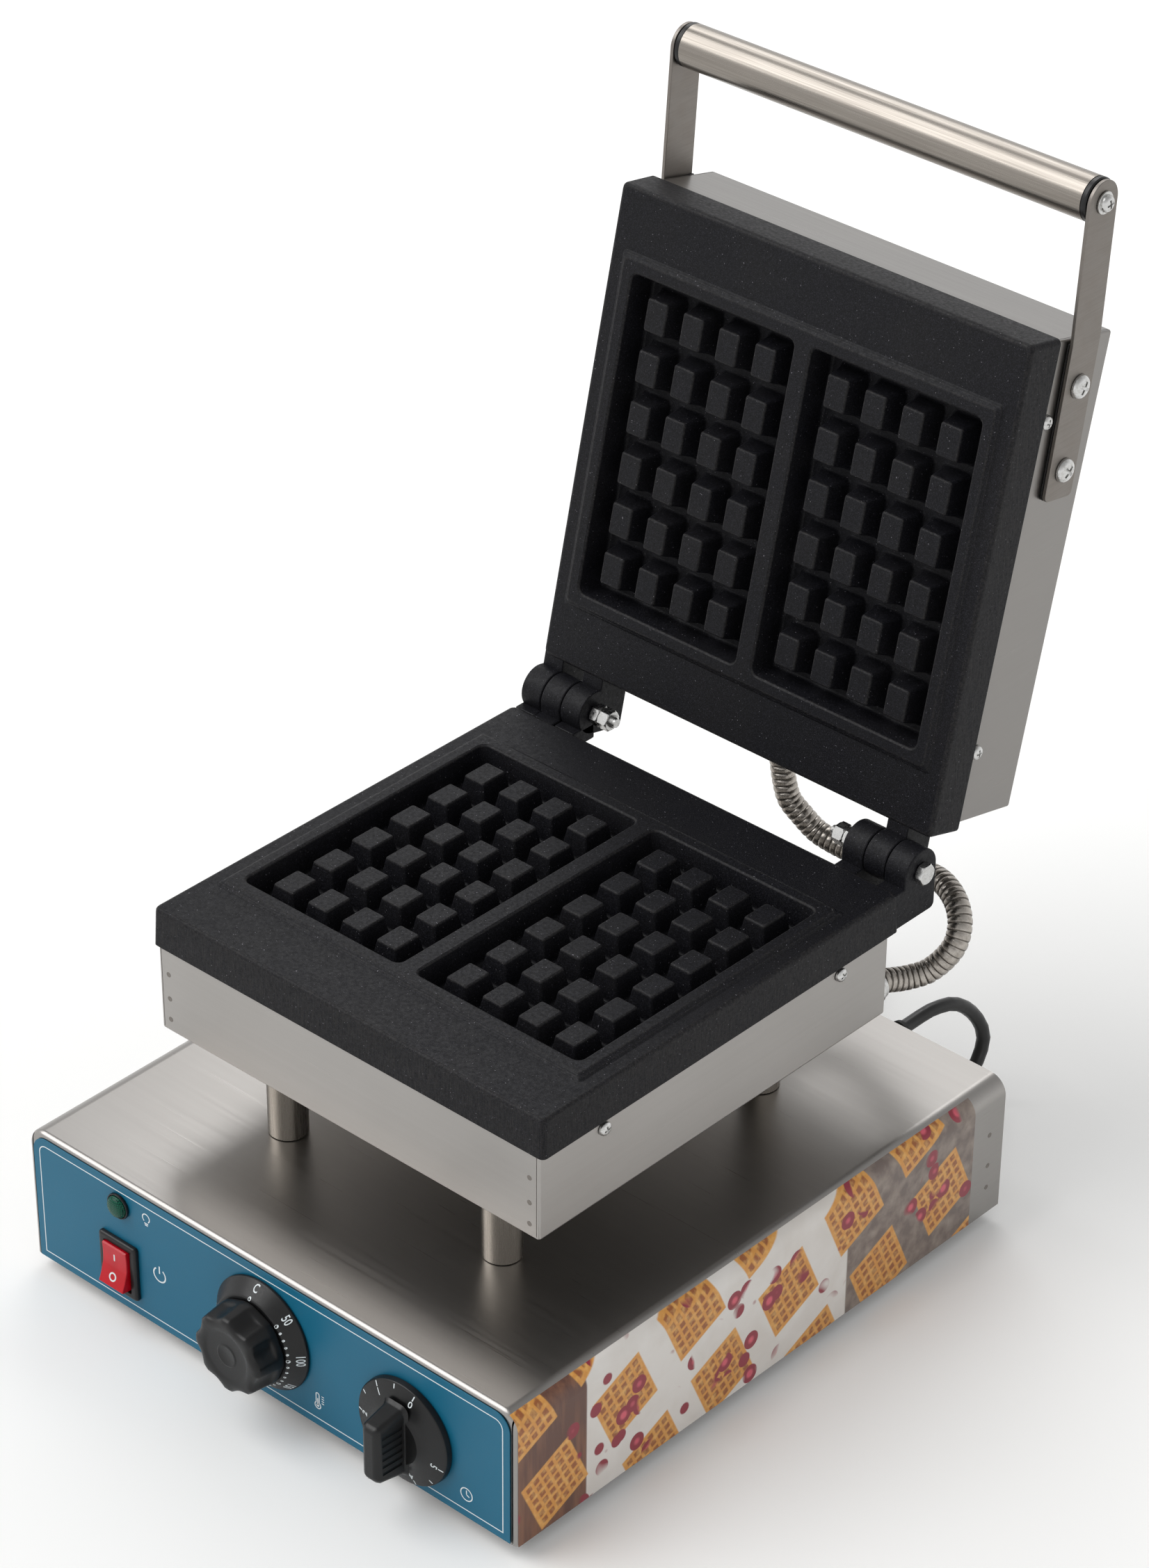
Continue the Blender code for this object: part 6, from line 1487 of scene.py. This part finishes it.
def build_handle():
    steel, zinc_steel = finish("mill-finish flat bar"), finish("zinc-plated steel")
    top, bend, end = strap_line()
    strap = flat_cut(strap_outline(), 0.002, soft=0.00035)
    big, end_screw = pan_screw(0.006, 0.0034, 0.003, 0.010), pan_screw(0.0042, 0.0038, 0.0025, 0.014, 0.0009)
    washer = turned([(0.0055, 0), (0.0055, 0.0007), (0.0053, 0.0009), (0.0028, 0.0009), (0.0028, 0)], 40, closed=True)
    end_screw.add(washer)
    for side, word in SIDES:
        mesh = strap.mesh("strap", LID @ Matrix.Translation((side * 0.1255, 0, 0)) @ UPRIGHT)
        piece(f"strap_{word}", mesh, steel, "lid", [f"handle_strap_{word}"], 40)

        def screwed(shape, spot, spin, name, node):
            seat = Matrix.Translation((side * (0.1265 + GAP), spot.x, spot.y))
            mesh = shape.mesh("screw", LID @ seat @ sideways(side) @ Matrix.Rotation(spin, 4, "Z"))
            piece(name, mesh, zinc_steel, "lid", [node], 35)

        for number, share in enumerate((0.28, 0.81), 1):
            name, node = f"strap_panhead_{word}_{number}", f"strap_screw_{word}_{number}"
            screwed(big, bend.lerp(end, share), 0.5 + number * 1.3 + side, name, node)
        screwed(end_screw, top, 0.4 * side, f"end_screw_{word}", f"handle_end_screw_{word}")

    half, radius = 0.1239, 0.011
    place = LID @ Matrix.Translation((0, top.x, top.y)) @ TO_RIGHT
    profile = [(0, -half + 0.003), (radius, -half + 0.003), (radius, half - 0.003), (0, half - 0.003)]
    bar = turned(profile, 64)
    piece(
        "handle_bar", bar.mesh("bar", place), finish("drawn satin tube"), "lid", ["handle_tube"]
    )
    profile = [(0, 0.0028), (radius - 0.0002, 0.0028), (radius, 0.0024), (radius, 0.0006), (radius - 0.0006, 0), (0, 0)]
    for side, word in SIDES:
        cap = turned([(across, -side * (-half + inward)) for across, inward in profile], 48)
        piece(f"handle_end_ring_{word}", cap.mesh("ring", place), finish("moulded black nylon"), "lid")


# ---------------------------------------------------------------- conduit


def build_conduit():
    turn = Matrix.Rotation(-OPEN_ANGLE, 4, "X")
    start = HINGE + turn @ Vector((UPPER_FITTING_X, -UPPER_NEAR + GAP, UPPER_FITTING_RISE))
    leave, arrive = turn @ Vector((0, 1, 0)), Vector((0, 1, 0))
    end = Vector((LOWER_FITTING_X, HINGE.y - LOWER_NEAR + GAP, LOWER_FITTING_Z))
    route = (
        (0.0044, 0.1900, 0.1759), (0.0124, 0.1925, 0.1656), (0.0224, 0.1955, 0.1575), (0.0484, 0.1970, 0.1556),
        (0.0879, 0.1915, 0.1671), (0.1063, 0.1860, 0.1722), (0.1212, 0.1790, 0.1708), (0.1297, 0.1725, 0.1639),
        (0.1315, 0.1655, 0.1542), (0.1246, 0.1575, 0.1424), (0.1178, 0.1475, 0.1395),
    )
    straight = (-0.002, 0.003, 0.0085)
    knots = [start + leave * out for out in straight] + [*route] + [end + arrive * out for out in straight[::-1]]
    points = smooth_route(knots, HOSE_PITCH / 6)
    # Each winding of the strip is a rounded rib with a narrow dark lap beside it.
    radii_round = (HOSE_GROOVE, 0.0061, HOSE_RADIUS, HOSE_RADIUS, HOSE_RADIUS, 0.0061)
    radii = [radii_round[index % 6] for index in range(len(points))]
    marks = [1 if index % 6 == 5 else 0 for index in range(len(points) - 1)]
    hose = tube(points, radii, 24, marks)
    finishes = [finish("wound galvanised strip"), finish("conduit seam")]
    hose = piece("conduit", hose.mesh("conduit", MACHINE), finishes, None, ["conduit_hose"], 60)
    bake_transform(hose)

    profile = [
        (0.0065, 0.006), (0.0073, 0.006), (0.0077, 0.0056), (0.0077, 0.0034), (0.0074, 0.0031), (0.0074, 0.0027),
        (0.0084, 0.0025), (0.0088, 0.0021), (0.0088, 0.0003), (0.0086, 0), (0.0072, 0), (0.0072, -0.004),
        (0.0065, -0.004),
    ]
    steel = finish("zinc-plated steel")
    for word, place, spot, body in (
        ("upper", LID, (UPPER_FITTING_X, -UPPER_NEAR + GAP, UPPER_FITTING_RISE), "lid"),
        ("lower", LOWER, (LOWER_FITTING_X, -LOWER_NEAR + GAP, LOWER_FITTING_Z - HINGE.z), "base"),
    ):
        mesh = turned(profile, 48, closed=True).mesh("fitting", place @ Matrix.Translation(spot) @ TO_REAR)
        piece(f"conduit_ferrule_{word}", mesh, steel, body, [f"hose_fitting_{word}"], 40)


# ---------------------------------------------------------------- inner parts and stage

INNER_FINISHES = {
    "rear_panel": ("brushed stainless, grain across", "brushed_stainless"),
    "bottom_plate": ("brushed stainless, grain across", "brushed_stainless"),
    "thermostat_body": ("moulded black nylon", "black_plastic"),
    "timer_body": ("moulded black nylon", "black_plastic"),
    "terminal_block": ("moulded black nylon", "black_plastic"),
    "strap_spacer_left": ("pressed rubber", "black_rubber"),
    "strap_spacer_right": ("pressed rubber", "black_rubber"),
    "lower_heating_element": ("oxidised heater sheath", "element_sheath"),
    "upper_heating_element": ("oxidised heater sheath", "element_sheath"),
}


def build_inner():
    for node, (name, slot) in INNER_FINISHES.items():
        NODES[node].data.materials.clear()
        NODES[node].data.materials.append(finish(name))


def build_stage():
    sizes = bpy.context.scene.waffle_maker
    # Painted studio floor: matt and pale. It only shows itself brighter to the camera, so its bounce stays plain.
    paint = bpy.data.materials.new("matt painted floor")
    paint.use_nodes = True
    tree = paint.node_tree
    tree.nodes.clear()
    diffuse = add_node(tree, "ShaderNodeBsdfDiffuse", {"Color": sizes.floor_colour[:]})
    path = add_node(tree, "ShaderNodeLightPath")
    glow = add_node(tree, "ShaderNodeEmission", {"Color": (1, 1, 1, 1)})
    # Far out the paint turns into the white backdrop, so that no horizon line shows.
    place = add_node(tree, "ShaderNodeNewGeometry").outputs["Position"]
    reach = add_node(tree, "ShaderNodeVectorMath", {"operation": "LENGTH"}, {"Vector": place}).outputs["Value"]
    paler = range_node(tree, reach, 0.7, 3.5, sizes.floor_lift, sizes.floor_lift + 0.15)
    seen = math_node(tree, "MULTIPLY", path.outputs["Is Camera Ray"], paler)
    tree.links.new(seen, glow.inputs["Strength"])
    both = add_node(tree, "ShaderNodeAddShader", None, {0: diffuse.outputs[0], 1: glow.outputs[0]})
    add_node(tree, "ShaderNodeOutputMaterial", None, {"Surface": both.outputs[0]})
    half = 9.0
    mesh = bpy.data.meshes.new("floor")
    mesh.from_pydata([(-half, -half, 0), (half, -half, 0), (half, half, 0), (-half, half, 0)], [], [(0, 1, 2, 3)])
    mesh.materials.append(paint)
    floor = linked("floor", mesh)

    world = bpy.data.worlds.new("studio")
    bpy.context.scene.world = world
    world.use_nodes = True
    tree = world.node_tree
    tree.nodes.clear()
    path = add_node(tree, "ShaderNodeLightPath").outputs
    shown = math_node(tree, "ADD", path["Is Camera Ray"], path["Is Glossy Ray"])
    shown = math_node(tree, "ADD", shown, path["Is Transmission Ray"], clamp=True)
    # The room that shows is white towards the horizon and falls off softly overhead, as above a lit sweep.
    where = add_node(tree, "ShaderNodeTexCoord").outputs["Generated"]
    height = add_node(tree, "ShaderNodeSeparateXYZ", None, {"Vector": where}).outputs["Z"]
    plain = math_node(
        tree, "MAXIMUM", range_node(tree, height, 0.0, 0.9, 1.0, sizes.overhead_light), path["Is Camera Ray"]
    )
    level = add_node(tree, "ShaderNodeMapRange", {"To Min": sizes.room_light}, {"Value": shown, "To Max": plain})
    background = add_node(tree, "ShaderNodeBackground", {"Color": (1, 1, 1, 1)}, {"Strength": level.outputs[0]})
    add_node(tree, "ShaderNodeOutputWorld", None, {"Surface": background.outputs[0]})

    def aimed(name, data, place):
        lamp = linked(name, data)
        lamp.location = place
        lamp.rotation_mode = "QUATERNION"
        lamp.rotation_quaternion = (Vector((0, 0, 0.15)) - Vector(place)).to_track_quat("-Z", "Y")

    key = bpy.data.lights.new("key", "SUN")
    key.energy, key.angle = sizes.key_light, math.radians(50)
    aimed("key", key, (-1.6, -1.4, 2.6))
    fill = bpy.data.lights.new("softbox", "AREA")
    fill.shape, fill.size, fill.size_y, fill.energy = "RECTANGLE", 1.2, 0.8, sizes.softbox_light
    aimed("softbox", fill, (-0.9, 1.2, 1.7))
    bpy.context.scene.view_settings.view_transform = "Standard"


# ---------------------------------------------------------------- add-on


def colour_property(name, description, code):
    return bpy.props.FloatVectorProperty(
        name=name, description=description, default=linear(code), size=4, min=0, max=1, subtype="COLOR"
    )


def number_property(name, description, default, high, low=0, **more):
    return bpy.props.FloatProperty(name=name, description=description, default=default, min=low, max=high, **more)


class WaffleMakerSettings(bpy.types.PropertyGroup):
    """Colours and light levels that a user would change."""

    overlay_colour: colour_property("Overlay", "Ground colour of the printed front overlay", "#12627f")
    iron_colour: colour_property("Castings", "Skin colour of the coated iron plates", "#0d0d11")
    steel_colour: colour_property("Steel", "Colour of the brushed stainless sheets", "#a3a09d")
    rocker_colour: colour_property("Rocker", "Colour of the mains rocker", "#bd0018")
    lens_colour: colour_property("Pilot lamp", "Colour of the pilot lamp's lens", "#00352a")
    floor_colour: colour_property("Floor", "Colour of the painted floor", "#f4f4f3")
    figure_height: number_property(
        "Dial figures", "Height of the figures on the thermostat's skirt", 0.0031, 0.004, 0.001, unit="LENGTH",
        precision=4,
    )
    floor_lift: number_property("Floor lift", "Light that the floor adds for the camera alone", 0.06, 1)
    room_light: number_property("Room light", "Strength of the white room on matt surfaces", 0.55, 1)
    overhead_light: number_property("Overhead", "Strength of the room straight above, as metal shows it", 0.4, 1)
    key_light: number_property("Key light", "Strength of the soft key light", 1.7, 5)
    softbox_light: number_property("Softbox", "Power of the softbox behind the machine", 9.0, 100, unit="POWER")


def builder(identifier, label, text, work):
    """An operator class that runs one building function."""

    def execute(self, context):
        work()
        return {"FINISHED"}

    members = {
        "bl_idname": f"waffle_maker.{identifier}",
        "bl_label": label,
        "__doc__": text,
        "bl_options": {"REGISTER", "UNDO"},
        "execute": execute,
    }
    return type(f"WAFFLE_MAKER_OT_{identifier}", (bpy.types.Operator,), members)


OPERATORS = [
    builder("camera", "Camera", "Places the camera at the photograph's angle", build_camera),
    builder("cord", "Mains lead", "Lays the coiled mains lead with its strain relief, plug and tie", build_cord),
    builder("base", "Base", "Folds the base shell and adds its welds, feet and posts", build_base),
    builder("overlay", "Front overlay", "Lays the printed overlay and its white line work on the front", build_overlay),
    builder("side_film", "Side film", "Lays the printed film over the right side", build_side_film),
    builder(
        "thermostat", "Thermostat knob", "Builds the thermostat's skirt, figures and fluted grip", build_thermostat
    ),
    builder("timer", "Timer knob", "Builds the timer's dial, figures and bar grip", build_timer),
    builder("lamp", "Pilot lamp", "Builds the pilot lamp's bezel and lens", build_lamp),
    builder("switch", "Mains switch", "Builds the switch frame, its rocker and the rocker's marks", build_switch),
    builder("housings", "Housings", "Folds the two sheet housings", build_housings),
    builder("castings", "Castings", "Builds the two cast plates with their cavities, pegs and lugs", build_castings),
    builder("hinge", "Hinge bolts", "Builds the hinge bolts and nuts", build_hinge),
    builder("screws", "Housing screws", "Builds the eight housing screws", build_screws),
    builder("handle", "Handle", "Builds the handle's straps, screws, bar and end rings", build_handle),
    builder("conduit", "Conduit", "Builds the wound conduit and its ferrules", build_conduit),
    builder("inner", "Inner parts", "Gives the remaining CAD parts their finishes", build_inner),
    builder("stage", "Stage", "Makes the floor, the room and the lights", build_stage),
]


class WAFFLE_MAKER_PT_sidebar(bpy.types.Panel):
    """Lists the settings and the building steps."""

    bl_label = "Waffle maker"
    bl_idname = "WAFFLE_MAKER_PT_sidebar"
    bl_space_type = "VIEW_3D"
    bl_region_type = "UI"
    bl_category = "Waffle maker"

    def draw(self, context):
        for name in WaffleMakerSettings.__annotations__:
            self.layout.prop(context.scene.waffle_maker, name)
        for operator in OPERATORS:
            self.layout.operator(operator.bl_idname)


def register():
    for cls in (WaffleMakerSettings, *OPERATORS, WAFFLE_MAKER_PT_sidebar):
        bpy.utils.register_class(cls)
    bpy.types.Scene.waffle_maker = bpy.props.PointerProperty(type=WaffleMakerSettings)


def unregister():
    del bpy.types.Scene.waffle_maker
    for cls in (WAFFLE_MAKER_PT_sidebar, *reversed(OPERATORS), WaffleMakerSettings):
        bpy.utils.unregister_class(cls)


def main():
    register()
    for operator in OPERATORS:
        getattr(bpy.ops.waffle_maker, operator.bl_idname.split(".")[1])()


if __name__ == "__main__":
    main()
